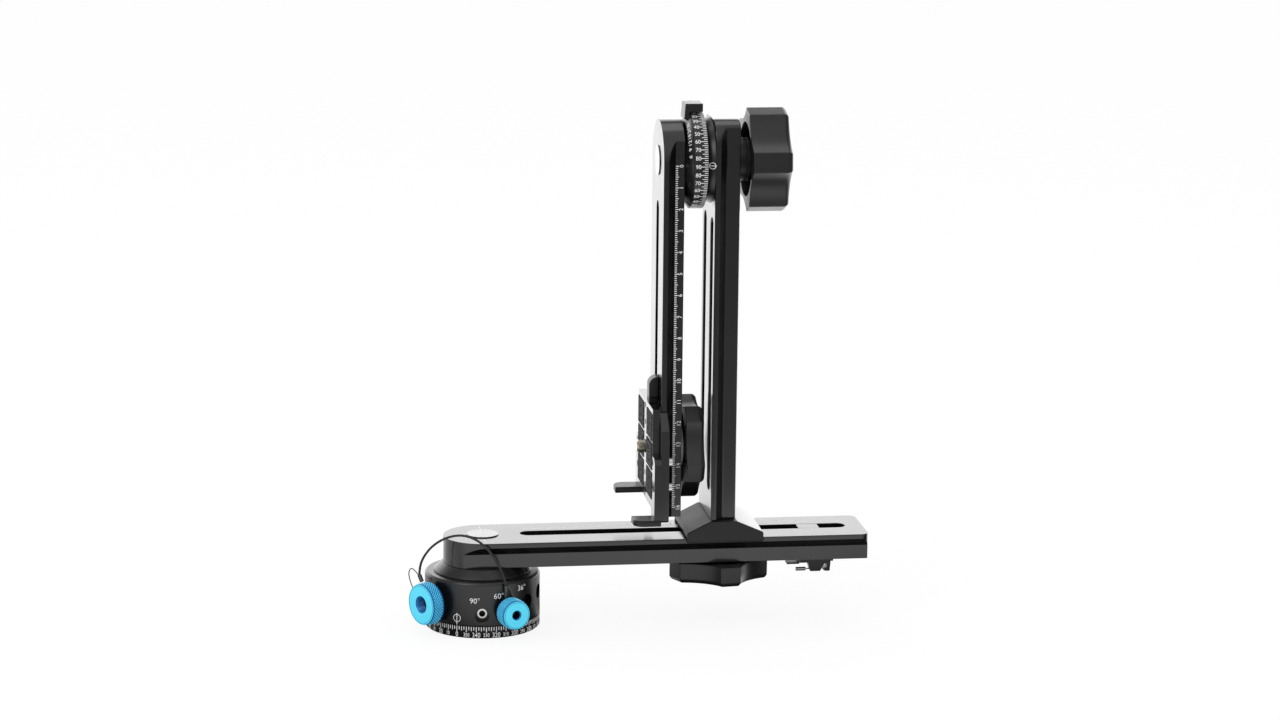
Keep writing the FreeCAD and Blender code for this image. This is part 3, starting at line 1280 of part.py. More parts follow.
def make_guides():
    inner = RAIL_HALF + 1.5 * D.running_gap
    chamfer = 1.0
    bars = []
    for name, side in (("near_bar", -1), ("far_bar", 1)):
        corners = [
            (inner * side, D.bar_bottom),
            ((D.bar_outer - chamfer) * side, D.bar_bottom),
            (D.bar_outer * side, D.bar_bottom + chamfer),
            (D.bar_outer * side, D.bar_top - D.bar_bevel + BAR_BEVEL_DROP),
            ((D.bar_outer - D.bar_bevel) * side, D.bar_top),
            (inner * side, D.bar_top),
        ]
        blank = extruded(name, "YZ_Plane", D.plate_back, D.bar_end, corners[::side])
        holes = [place(cylinder("%s_hole_%d" % (name, index), SMALL.shank + D.seat_gap, 0.0, THROUGH),
                       D.plate_back - OVERRUN, y, z, ALONG_X)
                 for index, (x, y, z) in enumerate(BAR_SCREW_PLACES) if float(y) * side > 0]
        bars.append(drilled(name + "_drilled", blank, holes))
    group("guide_bars", bars)
    screws("guide_bar_screws", SMALL, BAR_SCREW_LENGTH, BAR_SCREW_PLACES, ALONG_X)


def lug(name, tip, bottom, low, low_radius, high, high_radius, screw_place):
    """A flat lug between two sides, low and high along Y, with its two front corners rounded."""
    blank = extruded(name, "XY_Plane", bottom, bottom + D.lug_thick, (
        (tip + low_radius, low),
        (D.lug_end, low),
        (D.lug_end, high),
        (tip + high_radius, high, high_radius),
        (tip, high - high_radius),
        (tip, low + low_radius, low_radius),
    ))
    holes = screw_holes(name + "_hole", FINE, LUG_SCREW_LENGTH, [screw_place], SHANK_UP)
    return drilled(name + "_drilled", blank, holes)


def make_lugs():
    near_place, far_place = LUG_SCREW_PLACES
    outer, inner = D.wing_half_width, LUG_INNER
    group("camera_lugs", [
        lug("near_lug", D.near_lug_tip, D.near_lug_bottom, -outer, D.lug_corner, -inner, LUG_SMALL_CORNER,
            near_place),
        lug("far_lug", D.far_lug_tip, D.far_lug_bottom, inner, LUG_SMALL_CORNER, outer, D.lug_corner,
            far_place),
    ])
    screws("lug_screws", FINE, LUG_SCREW_LENGTH, LUG_SCREW_PLACES, SHANK_UP)

    front = D.plate_front + D.slide_gap
    side = D.top_lug_side
    blank = extruded("top_lug_blank", "XZ_Plane", -side - D.top_lug_width, -side, (
        (front, D.plate_top),
        (D.top_lug_back, D.plate_top),
        (D.top_lug_back, D.top_lug_top),
        (front + FIN_CORNER, D.top_lug_top, FIN_CORNER),
        (front, D.top_lug_top - FIN_CORNER),
    ))
    cutters = []
    for index, offset in enumerate(FIN_NOTCHES):
        low = side + offset
        cutters.append(box("lug_notch_%d" % index, (front - OVERRUN, D.top_lug_back + OVERRUN),
                           (low, low + FIN_NOTCH_WIDTH),
                           (D.plate_top - OVERRUN, D.plate_top + FIN_NOTCH_HEIGHT)))
    node(drilled("top_lug", blank, cutters), "top_lug")


def make_camera_screw():
    centre = D.camera_axis_height
    head = CAMERA_HEAD_START + D.slide_gap
    head_end = head + HEAD_THICK
    thread_end = D.plate_front - D.pad_thick
    blank = turned("camera_screw_blank", (
        (0.0, D.camera_screw_tip),
        (D.camera_screw_radius - SCREW_CHAMFER, D.camera_screw_tip),
        (D.camera_screw_radius, D.camera_screw_tip + SCREW_CHAMFER),
        (D.camera_screw_radius, thread_end),
        (SCREW_NECK, thread_end),
        (SCREW_NECK, head),
        (HEAD_RADIUS, head),
        (HEAD_RADIUS, head_end),
        (0.0, head_end),
    ))
    key = hexagon("camera_screw_key", SCREW_KEY, head_end - SCREW_KEY_DEPTH, head_end + OVERRUN)
    node(place(cut("camera_screw", blank, key), 0.0, 0.0, centre, ALONG_X), "camera_screw")

    flange = head_end + D.slide_gap
    stud = turned("plate_clamp_stud", (
        (KEY_RADIUS, flange),
        (STUD_FLANGE_RADIUS, flange),
        (STUD_FLANGE_RADIUS, D.plate_rib_back - D.slide_gap),
        (PLATE_STUD_RADIUS, D.plate_rib_back - D.slide_gap),
        (PLATE_STUD_RADIUS, D.plate_knob_end - STUD_BACKSET),
        (KEY_RADIUS, D.plate_knob_end - STUD_BACKSET),
    ))
    node(place(stud, 0.0, 0.0, centre, ALONG_X), "plate_clamp_stud")


# ---------------------------------------------------------------- slot stop

CLIP_INSET = 0.4
STOP_LEFT = D.stop_start + CLIP_INSET
STOP_RIGHT = D.stop_plate_end
STOP_PLATE_HALF = 7.0
STOP_STRIP_HALF = 2.5
STOP_STRIP_THICK = 1.8
TONGUE_REACH = 5.4
TONGUE_LOW = 3.7
TONGUE_THICK = 0.8
STRIP_TURN = 4.7   # where the strip starts to bend down
STRIP_BACKSET = 0.2
TONGUE_ROOT = 0.5
# The bent strip's lower edge in side view, as offsets from the clip's start and from its lowest face.
STRIP_EDGE = (
    (5.9, 0.0), (10.6, 0.0), (12.6, 3.5), (13.8, 3.5), (13.8, 2.0), (11.8, 0.8), (13.0, 0.0), (15.2, 0.0),
)
STOP_PIN_HEIGHT = 0.75
STOP_PIN_START = 5.0
STOP_WIRE_RADIUS = 0.3
STOP_WIRE_LENGTH = 3.6
STOP_KNOB_RADIUS = 0.95
STOP_KNOB_LENGTH = 4.6
STOP_KNOB_REACH = 0.7
STOP_HOLE_DEPTH = 3.0


def make_stop():
    side = D.lower_slot_width / 2 - D.running_gap
    plate_top = D.lower_arm_bottom - 2 * D.slide_gap
    node(box("stop_block", (D.stop_start, D.stop_end), (-side, side), (plate_top, ARM_TOP - D.slide_gap)),
         "stop_block")

    left, low = STOP_LEFT, D.stop_bottom
    plate_bottom = D.stop_plate_bottom + STOP_STRIP_THICK
    plate = box("stop_plate", (left, STOP_RIGHT), (-STOP_PLATE_HALF, STOP_PLATE_HALF),
                (plate_bottom, plate_top))
    strip = extruded("stop_strip", "XZ_Plane", -STOP_STRIP_HALF, STOP_STRIP_HALF, (
        (left, D.stop_plate_bottom),
        (left + STRIP_TURN, D.stop_plate_bottom),
        *((left + x, low + z) for x, z in STRIP_EDGE),
        (STOP_RIGHT - STRIP_BACKSET, plate_bottom),
        (left, plate_bottom),
    ))
    tongue = box("stop_tongue", (left - TONGUE_REACH, left + TONGUE_ROOT),
                 (-STOP_STRIP_HALF, STOP_STRIP_HALF), (low + TONGUE_LOW, low + TONGUE_LOW + TONGUE_THICK))
    pin_height = low + STOP_PIN_HEIGHT
    hole_radius = STOP_WIRE_RADIUS + D.running_gap
    pin_hole = place(cylinder("stop_pin_hole", hole_radius, 0.0, STOP_HOLE_DEPTH),
                     left + STOP_PIN_START, 0.0, pin_height, ALONG_X)
    node(cut("stop_clip", fuse("stop_clip_blank", plate, strip, tongue), pin_hole), "stop_clip")

    knob = ring("stop_knob_blank", 0.0, STOP_KNOB_RADIUS, 0.0, STOP_KNOB_LENGTH)
    wire = cylinder("stop_wire", STOP_WIRE_RADIUS, STOP_KNOB_LENGTH, STOP_KNOB_LENGTH + STOP_WIRE_LENGTH)
    knob_start = left - STOP_KNOB_REACH
    node(place(fuse("stop_screw_set", knob, wire), knob_start, 0.0, pin_height, ALONG_X), "stop_screw")


# ---------------------------------------------------------------- assembly and export

def bad_objects():
    names = []
    for item in doc.Objects:
        if "Invalid" in item.State or "Error" in item.State:
            names.append(item.Name)
    return names


def main():
    make_base()
    make_rotator()
    make_plunger()
    make_lock()
    make_tether()
    make_lower_arm()
    make_foot()
    make_upright()
    make_index_hub()
    make_tilt_unit()
    make_selector_ring()
    make_plate()
    make_guides()
    make_lugs()
    make_camera_screw()
    make_clamps()
    make_stop()
    doc.recompute()
    broken = bad_objects()
    for item in NODES:
        if item.Shape.isNull() or not item.Shape.isValid() or not item.Shape.Solids:
            broken.append(item.Label)
    if broken:
        sys.exit("not valid: " + ", ".join(broken))
    os.makedirs("parts", exist_ok=True)
    for item in NODES:
        item.Shape.exportStep("parts/%s.step" % item.Label)
        print("%-26s solids %2d  volume %9.1f" % (item.Label, len(item.Shape.Solids), item.Shape.Volume))
    print("nodes", len(NODES))


main()
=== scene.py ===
import json
import math

import bpy
from mathutils import Matrix, Vector


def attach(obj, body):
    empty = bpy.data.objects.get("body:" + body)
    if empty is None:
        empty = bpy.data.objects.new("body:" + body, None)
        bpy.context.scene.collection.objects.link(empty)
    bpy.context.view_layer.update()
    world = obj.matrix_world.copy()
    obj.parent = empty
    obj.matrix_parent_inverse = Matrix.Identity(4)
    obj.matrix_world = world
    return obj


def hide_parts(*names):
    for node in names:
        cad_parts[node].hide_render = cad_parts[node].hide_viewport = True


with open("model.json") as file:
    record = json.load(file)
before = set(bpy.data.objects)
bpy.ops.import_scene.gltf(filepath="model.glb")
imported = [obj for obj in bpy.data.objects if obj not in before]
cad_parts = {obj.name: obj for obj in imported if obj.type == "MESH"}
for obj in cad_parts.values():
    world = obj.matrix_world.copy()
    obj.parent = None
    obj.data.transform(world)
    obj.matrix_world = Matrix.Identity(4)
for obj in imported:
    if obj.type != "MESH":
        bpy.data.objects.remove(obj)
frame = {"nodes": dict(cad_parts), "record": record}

MM = 0.001
NODES = frame["nodes"]
BODY_OF = {node: body for body, nodes in frame["record"]["behaviour"]["bodies"].items() for node in nodes}
SLOT_OF = {part["node"]: part["material_slot"] for part in frame["record"]["subparts"]}
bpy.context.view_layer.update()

# The part's own sizes, in millimetres, as the CAD has them.
RING_RADIUS = 26.8
RING_TOP = 5.75
ARM_TOP = 42.88
WAIST = 15.225
TILT_HEIGHT = 218.0
DIAL_RADIUS = 22.4
PLATE_FRONT = 76.14
LOCK_AZIMUTH, LOCK_HEIGHT = -57.8, 15.05
PORTS = [(-6.0 + 25.5 * index, 10.9 + 2.15 * index) for index in range(4)]   # (azimuth, height)

INK = 0.03   # how far the printed marks stand off the surface, in millimetres

# ---------------------------------------------------------------- camera

scene = bpy.context.scene
scene.view_settings.view_transform = "Standard"

CAMERA_PLACE = (-0.1742, -1.7151, 0.4870)
CAMERA_YAW, CAMERA_PITCH, CAMERA_ROLL = (math.radians(angle) for angle in (-8.211, -11.821, 0.573))
camera = bpy.data.objects.new("camera", bpy.data.cameras.new("camera"))
camera.data.sensor_width = 36.0
camera.data.lens = 107.35
camera.data.clip_end = 60.0
camera.matrix_world = (Matrix.Translation(CAMERA_PLACE) @ Matrix.Rotation(CAMERA_YAW, 4, "Z")
                       @ Matrix.Rotation(math.pi / 2 + CAMERA_PITCH, 4, "X")
                       @ Matrix.Rotation(CAMERA_ROLL, 4, "Z"))
scene.collection.objects.link(camera)
scene.camera = camera

# ---------------------------------------------------------------- working helpers


def only(*objects):
    """Selects these objects and nothing else, and makes the first one active."""
    bpy.ops.object.select_all(action="DESELECT")
    for item in objects:
        item.select_set(True)
    bpy.context.view_layer.objects.active = objects[0]


def fresh(name):
    """The primitive or text that was just added, under its own name."""
    item = bpy.context.object
    item.name = item.data.name = name
    return item


def put_on(modifier, item, **settings):
    """Adds a modifier with its settings and applies it."""
    only(item)
    bpy.ops.object.modifier_add(type=modifier)
    added = item.modifiers[-1]
    for key, value in settings.items():
        setattr(added, key, value)
    bpy.ops.object.modifier_apply(modifier=added.name)


def join(items, name):
    only(*items)
    if len(items) > 1:
        bpy.ops.object.join()
    item = bpy.context.object
    item.name = item.data.name = name
    return item


def wear(item, material):
    item.data.materials.clear()
    item.data.materials.append(material)
    return item


def fit(item, body, slot, *nodes):
    """Makes a finished piece ride on its body and hides the CAD nodes that it is shown in place of."""
    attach(item, body)
    if nodes:
        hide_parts(*nodes)
    return item


def outward(azimuth, height):
    """The place of a thing built along +Z that points away from the pan axis, its own +Y upwards."""
    turn = math.radians(azimuth)
    out = Vector((math.sin(turn), -math.cos(turn), 0.0))
    up = Vector((0.0, 0.0, 1.0))
    right = up.cross(out)
    place = Matrix.Translation(up * height * MM)
    return place @ Matrix((right, up, out)).transposed().to_4x4()


def smooth(item, degrees):
    only(item)
    bpy.ops.object.shade_smooth_by_angle(angle=math.radians(degrees))


# ---------------------------------------------------------------- tether

CORD_RADIUS = 0.55
WIRE_RADIUS = 0.25
LOOP_REACH = 28.2
CORD_ROUTE = (
    (-29.9, -5.45, 25.6), (-29.8, -5.7, 30.2), (-27.5, -7.6, 35.9), (-23.7, -10.6, 41.3),
    (-17.9, -14.5, 45.7), (-11.2, -18.5, 47.7), (-4.6, -21.9, 46.0), (0.4, -24.1, 41.6),
    (4.2, -25.6, 36.0), (6.8, -26.5, 30.6), (8.2, -27.0, 25.3),
)
# The wires' routes, as (sideways, height) in the upright plane across each knob's neck.
LEFT_LOOP = (
    (-11.9, 25.2), (-16.6, 28.6), (-20.2, 25.2), (-17.6, 19.4), (-12.6, 14.4), (-7.0, 10.2),
    (-0.6, 8.4), (4.8, 11.2), (5.4, 17.0), (0.6, 20.6), (-5.2, 21.2), (-9.1, 22.2),
)
RIGHT_LOOP = ((-0.1, 24.8), (1.3, 22.6), (2.6, 19.6), (4.9, 16.4), (5.2, 12.0), (2.4, 8.3), (-2.4, 8.3),
              (-5.2, 12.0), (-4.8, 16.2), (-1.4, 19.0))


def on_wall(azimuth, reach, tangent, height):
    """A point in the upright plane that faces an azimuth, at a distance from the pan axis."""
    turn = math.radians(azimuth)
    return (reach * math.sin(turn) + tangent * math.cos(turn),
            -reach * math.cos(turn) + tangent * math.sin(turn), height)


def soft_line(name, route, radius):
    curve = bpy.data.curves.new(name, "CURVE")
    curve.dimensions = "3D"
    spline = curve.splines.new("NURBS")
    spline.points.add(len(route) - 1)
    for point, place in zip(spline.points, route):
        point.co = (place[0] * MM, place[1] * MM, place[2] * MM, 1.0)
    spline.order_u = 3
    spline.use_endpoint_u = True
    spline.resolution_u = 16
    curve.bevel_depth = radius * MM
    curve.bevel_resolution = 4
    curve.use_fill_caps = True
    item = bpy.data.objects.new(name, curve)
    scene.collection.objects.link(item)
    return item


def line_length(item):
    bare = item.data.copy()
    bare.bevel_depth = 0.0
    holder = bpy.data.objects.new("bare", bare)
    mesh = bpy.data.meshes.new_from_object(holder)
    points = [vertex.co.copy() for vertex in mesh.vertices]
    bpy.data.meshes.remove(mesh)
    bpy.data.curves.remove(bare)
    return sum((b - a).length for a, b in zip(points, points[1:]))


cord = soft_line("tether_line", CORD_ROUTE, CORD_RADIUS)
left_wire = soft_line("tether_loop_left", [on_wall(LOCK_AZIMUTH, LOOP_REACH, *at) for at in LEFT_LOOP],
                      WIRE_RADIUS)
right_wire = soft_line("tether_loop_right", [on_wall(PORTS[1][0], LOOP_REACH, *at) for at in RIGHT_LOOP],
                       WIRE_RADIUS)
for piece in (cord, left_wire, right_wire):
    print(piece.name, "length %.4f m" % line_length(piece))

# ---------------------------------------------------------------- shader groups


class Board:
    """A node tree being wired: nodes are added by type, and links made by socket name."""

    def __init__(self, tree):
        self.tree = tree

    def add(self, kind, **settings):
        node = self.tree.nodes.new(kind)
        for key, value in settings.items():
            setattr(node, key, value)
        return node

    def set(self, node, **values):
        for key, value in values.items():
            node.inputs[key.replace("_", " ")].default_value = value
        return node

    def link(self, start, end):
        self.tree.links.new(start, end)

    def math(self, operation, first, second=0.0):
        node = self.add("ShaderNodeMath", operation=operation)
        for socket, value in zip(node.inputs, (first, second)):
            if isinstance(value, (int, float)):
                socket.default_value = value
            else:
                self.link(value, socket)
        return node.outputs[0]

    def between(self, value, low, high, to_low, to_high):
        node = self.add("ShaderNodeMapRange")
        for socket, given in zip(node.inputs, (value, low, high, to_low, to_high)):
            if isinstance(given, (int, float)):
                socket.default_value = given
            else:
                self.link(given, socket)
        return node.outputs[0]


def shader_group(name, inputs, outputs):
    """An empty node group with named inputs and outputs. A tuple default makes a vector input."""
    tree = bpy.data.node_groups.new(name, "ShaderNodeTree")
    for label, default in inputs:
        kind = "NodeSocketVector" if isinstance(default, tuple) else "NodeSocketFloat"
        tree.interface.new_socket(name=label, in_out="INPUT", socket_type=kind).default_value = default
    for label in outputs:
        tree.interface.new_socket(name=label, in_out="OUTPUT", socket_type="NodeSocketFloat")
    board = Board(tree)
    return board, board.add("NodeGroupInput"), board.add("NodeGroupOutput")


def make_grain():
    """Fine bead-blasted grain with slow cloudy changes, as anodised or moulded surfaces have."""
    board, enter, leave = shader_group(
        "surface_grain",
        (("Fine Scale", 4000.0), ("Cloud Scale", 60.0), ("Low", 0.2), ("High", 0.3)),
        ("Value", "Cloud", "Height"))
    where = board.add("ShaderNodeTexCoord")
    fine = board.add("ShaderNodeTexNoise")
    board.set(fine, Detail=2.0, Roughness=0.6)
    board.link(where.outputs["Object"], fine.inputs["Vector"])
    board.link(enter.outputs["Fine Scale"], fine.inputs["Scale"])
    cloud = board.add("ShaderNodeTexNoise")
    board.set(cloud, Detail=3.0, Roughness=0.55)
    board.link(where.outputs["Object"], cloud.inputs["Vector"])
    board.link(enter.outputs["Cloud Scale"], cloud.inputs["Scale"])
    mixed = board.math("ADD", board.math("MULTIPLY", fine.outputs[0], 0.45),
                       board.math("MULTIPLY", cloud.outputs[0], 0.55))
    value = board.between(mixed, 0.35, 0.65, enter.outputs["Low"], enter.outputs["High"])
    board.link(value, leave.inputs["Value"])
    board.link(board.between(cloud.outputs[0], 0.3, 0.7, 0.0, 1.0), leave.inputs["Cloud"])
    board.link(fine.outputs[0], leave.inputs["Height"])
    return board.tree


def make_turning():
    """Concentric tool marks about the axis through a given point."""
    board, enter, leave = shader_group(
        "turning_marks", (("Centre", (0.0, 0.0, 0.0)), ("Axis", (0.0, 0.0, 1.0)), ("Pitch", 0.00025)),
        ("Height", "Ring", "Reach"))
    where = board.add("ShaderNodeTexCoord")
    offset = board.add("ShaderNodeVectorMath", operation="SUBTRACT")
    board.link(where.outputs["Object"], offset.inputs[0])
    board.link(enter.outputs["Centre"], offset.inputs[1])
    across = board.add("ShaderNodeVectorMath", operation="CROSS_PRODUCT")
    board.link(offset.outputs[0], across.inputs[0])
    board.link(enter.outputs["Axis"], across.inputs[1])
    length = board.add("ShaderNodeVectorMath", operation="LENGTH")
    board.link(across.outputs[0], length.inputs[0])
    turns = board.math("DIVIDE", length.outputs["Value"], enter.outputs["Pitch"])
    wave = board.math("SINE", board.math("MULTIPLY", turns, 2 * math.pi))
    noise = board.add("ShaderNodeTexNoise", noise_dimensions="1D")
    board.set(noise, Scale=0.37, Detail=2.0)
    board.link(turns, noise.inputs["W"])
    board.link(board.math("MULTIPLY", wave, noise.outputs[0]), leave.inputs["Height"])
    board.link(noise.outputs[0], leave.inputs["Ring"])
    board.link(length.outputs["Value"], leave.inputs["Reach"])
    return board.tree


def make_grit():
    """Sharp grains scattered in a dark binder."""
    board, enter, leave = shader_group("grit", (("Scale", 2600.0), ("Share", 0.5)), ("Grain", "Height"))
    where = board.add("ShaderNodeTexCoord")
    cells = board.add("ShaderNodeTexVoronoi")
    board.link(where.outputs["Object"], cells.inputs["Vector"])
    board.link(enter.outputs["Scale"], cells.inputs["Scale"])
    tone = board.add("ShaderNodeSeparateColor")
    board.link(cells.outputs["Color"], tone.inputs[0])
    bright = board.math("GREATER_THAN", tone.outputs[0], enter.outputs["Share"])
    core = board.between(cells.outputs["Distance"], 0.25, 0.55, 1.0, 0.0)
    board.link(board.math("MULTIPLY", bright, core), leave.inputs["Grain"])
    board.link(core, leave.inputs["Height"])
    return board.tree


GRAIN = make_grain()
TURNING = make_turning()
GRIT = make_grit()

# ---------------------------------------------------------------- materials

# Depths of the bumps, in metres.
GRAIN_DEPTH, TURNING_DEPTH, GRIT_DEPTH = 0.000004, 0.00001, 0.00012


def new_material(name, **sockets):
    """A material with one Principled BSDF, its plain values set on its own sockets."""
    material = bpy.data.materials.new(name)
    material.use_nodes = True
    board = Board(material.node_tree)
    shader = material.node_tree.nodes["Principled BSDF"]
    board.set(shader, **sockets)
    return material, board, shader


def tones(board, shader, mask, dark, light):
    """Base colour between two tones."""
    ramp = board.add("ShaderNodeMix", data_type="RGBA")
    ramp.inputs["A"].default_value = (*dark, 1.0)
    ramp.inputs["B"].default_value = (*light, 1.0)
    board.link(mask, ramp.inputs["Factor"])
    board.link(ramp.outputs["Result"], shader.inputs["Base Color"])


def bumped(board, shader, height, distance):
    bump = board.add("ShaderNodeBump")
    board.set(bump, Strength=1.0, Distance=distance)
    board.link(height, bump.inputs["Height"])
    board.link(bump.outputs[0], shader.inputs["Normal"])


def grained(name, dark, light, rough, fine=4000.0, cloud=60.0, bump=GRAIN_DEPTH, **sockets):
    """A metal or moulding with grain in its colour, gloss and surface."""
    material, board, shader = new_material(name, **sockets)
    grain = board.add("ShaderNodeGroup", node_tree=GRAIN)
    grain.inputs["Fine Scale"].default_value = fine
    grain.inputs["Cloud Scale"].default_value = cloud
    grain.inputs["Low"].default_value, grain.inputs["High"].default_value = rough
    tones(board, shader, grain.outputs["Cloud"], dark, light)
    board.link(grain.outputs["Value"], shader.inputs["Roughness"])
    bumped(board, shader, grain.outputs["Height"], bump)
    return material


def turned(name, dark, light, rough, centre, axis, **sockets):
    """A lathe-cut face with rings about a centre."""
    material, board, shader = new_material(name, **sockets)
    rings = board.add("ShaderNodeGroup", node_tree=TURNING)
    rings.inputs["Centre"].default_value = [value * MM for value in centre]
    rings.inputs["Axis"].default_value = axis
    tones(board, shader, rings.outputs["Ring"], dark, light)
    board.link(board.between(rings.outputs["Ring"], 0.3, 0.7, *rough), shader.inputs["Roughness"])
    bumped(board, shader, rings.outputs["Height"], TURNING_DEPTH)
    return material


def two_toned(name, inner, outer, rough, low, high, centre, axis, **sockets):
    """Base colour that runs from an inner to an outer tone between two distances from an axis; the darker
    inner tone is painted shade in the hollows nearer the axis.
    """
    material, board, shader = new_material(name, **sockets)
    rings = board.add("ShaderNodeGroup", node_tree=TURNING)
    rings.inputs["Centre"].default_value = [value * MM for value in centre]
    rings.inputs["Axis"].default_value = axis
    tones(board, shader, board.between(rings.outputs["Reach"], low * MM, high * MM, 0.0, 1.0), inner, outer)
    grain = board.add("ShaderNodeGroup", node_tree=GRAIN)
    grain.inputs["Low"].default_value, grain.inputs["High"].default_value = rough
    board.link(grain.outputs["Value"], shader.inputs["Roughness"])
    return material


BLACK = ((0.002, 0.002, 0.0022), (0.0045, 0.0043, 0.0045))
BLUE = ((0.07, 0.64, 0.88), (0.12, 0.76, 0.97))
# Painted shade: the darker blue below goes into the knurl's valleys and stands in for the shade that falls in
# them; the peaks keep a blue near the knob's own.
BLUE_VALLEY_PAINTED_SHADE = (0.0, 0.13, 0.38)
BLUE_PEAK = (0.10, 0.66, 0.94)
LOCK_RADIUS, PLUNGER_RADIUS = 9.9, 7.05
KNURL_DEPTH = 0.42
VALLEY_END, PEAK_START = 0.06, 0.2   # above the knurl's bottom, where its colour starts and ends changing
UP = (0.0, 0.0, 1.0)
ALONG = (1.0, 0.0, 0.0)


def wall_out(azimuth):
    turn = math.radians(azimuth)
    return (math.sin(turn), -math.cos(turn), 0.0)


MATERIALS = {
    "black_rail": grained("anodised_rail", *BLACK, (0.16, 0.24), Coat_Weight=0.6, Coat_Roughness=0.12),
    "black_body": grained("anodised_body", *BLACK, (0.26, 0.36), Coat_Weight=0.35, Coat_Roughness=0.22),
    "black_knob": grained("anodised_knob", *BLACK, (0.32, 0.42), Coat_Weight=0.35, Coat_Roughness=0.3),
    "black_cap": turned("turned_black_cap", *BLACK, (0.10, 0.16), (0, 0, 0), UP, Coat_Weight=1.0,
                        Coat_Roughness=0.06),
    "black_cap_upper": turned("turned_black_upper_cap", *BLACK, (0.10, 0.16), (0, 0, TILT_HEIGHT), ALONG,
                              Coat_Weight=1.0, Coat_Roughness=0.06),
    "steel": grained("bright_steel", (0.50, 0.50, 0.52), (0.66, 0.66, 0.67), (0.18, 0.3), Metallic=1.0),
    "black_steel": grained("blackened_steel", (0.02, 0.02, 0.021), (0.05, 0.05, 0.052), (0.25, 0.4),
                           Metallic=0.6),
    "brass": grained("turned_brass", (0.62, 0.45, 0.19), (0.74, 0.56, 0.27), (0.2, 0.34), Metallic=1.0),
    "nylon": grained("washer_nylon", (0.62, 0.61, 0.57), (0.74, 0.73, 0.69), (0.45, 0.55)),
    "cord": grained("braided_cord", (0.004, 0.004, 0.0045), (0.03, 0.03, 0.032), (0.55, 0.75), fine=5200.0,
                    cloud=2600.0, bump=0.00006),
    "wire": grained("coated_wire", (0.03, 0.03, 0.032), (0.12, 0.12, 0.125), (0.3, 0.45)),
    "ink": grained("white_ink", (0.72, 0.72, 0.71), (0.86, 0.86, 0.85), (0.5, 0.6)),
    "blue": grained("blue_anodised", (0.0, 0.36, 0.72), (0.01, 0.46, 0.82), (0.28, 0.36), Metallic=0.35),
    # The two knurled edges below have painted shade in the knurl's valleys.
    "lock_edge": two_toned("blue_lock_knurl", BLUE_VALLEY_PAINTED_SHADE, BLUE_PEAK, (0.3, 0.4),
                           LOCK_RADIUS - KNURL_DEPTH + VALLEY_END, LOCK_RADIUS - KNURL_DEPTH + PEAK_START,
                           (0, 0, LOCK_HEIGHT), wall_out(LOCK_AZIMUTH), Metallic=0.2),
    "plunger_edge": two_toned("blue_plunger_knurl", BLUE_VALLEY_PAINTED_SHADE, BLUE_PEAK, (0.3, 0.4),
                              PLUNGER_RADIUS - KNURL_DEPTH + VALLEY_END,
                              PLUNGER_RADIUS - KNURL_DEPTH + PEAK_START,
                              (0, 0, PORTS[1][1]), wall_out(PORTS[1][0]), Metallic=0.2),
    # Painted shade: the set screw's socket, within 1.35 mm of its axis, is coloured near black inside the
    # bright steel around it.
    "set_screw": two_toned("set_screw_steel", (0.01, 0.01, 0.01), (0.72, 0.71, 0.69), (0.16, 0.26), 1.35, 1.6,
                           (0, 0, PORTS[0][1]), wall_out(PORTS[0][0]), Metallic=1.0),
    "ferrule": grained("glossy_ferrule", (0.004, 0.004, 0.004), (0.012, 0.012, 0.012), (0.12, 0.2),
                       Coat_Weight=1.0, Coat_Roughness=0.08),
    "blasted": grained("blasted_black", *BLACK, (0.3, 0.36)),
    "bright_screw": grained("bright_screw_steel", (0.60, 0.60, 0.58), (0.78, 0.77, 0.74), (0.12, 0.2),
                            Metallic=1.0),
    "pale_brass": grained("worn_brass", (0.50, 0.46, 0.38), (0.68, 0.63, 0.54), (0.2, 0.3), Metallic=1.0),
    "lock_face": turned("blue_lock_face", *BLUE, (0.3, 0.38), (0, 0, LOCK_HEIGHT), wall_out(LOCK_AZIMUTH),
                        Metallic=0.2),
    "plunger_face": turned("blue_plunger_face", *BLUE, (0.3, 0.38), (0, 0, PORTS[1][1]),
                           wall_out(PORTS[1][0]), Metallic=0.2),
}


def make_pad_material():
    material, board, shader = new_material("grip_grit", Specular_IOR_Level=0.15)
    grit = board.add("ShaderNodeGroup", node_tree=GRIT)
    grit.inputs["Scale"].default_value = 2400.0
    grit.inputs["Share"].default_value = 0.55
    tones(board, shader, grit.outputs["Grain"], (0.012, 0.012, 0.012), (0.36, 0.36, 0.36))
    board.link(board.between(grit.outputs["Grain"], 0.0, 1.0, 0.95, 0.6), shader.inputs["Roughness"])
    bumped(board, shader, grit.outputs["Height"], GRIT_DEPTH)
    return material


MATERIALS["grip"] = make_pad_material()

POLISHED_START, POLISHED_HALF_WIDTH = 117.0, 19.0
MATT_ROUGHNESS, POLISHED_ROUGHNESS, POLISHED_COAT = 0.42, 0.18, 0.6


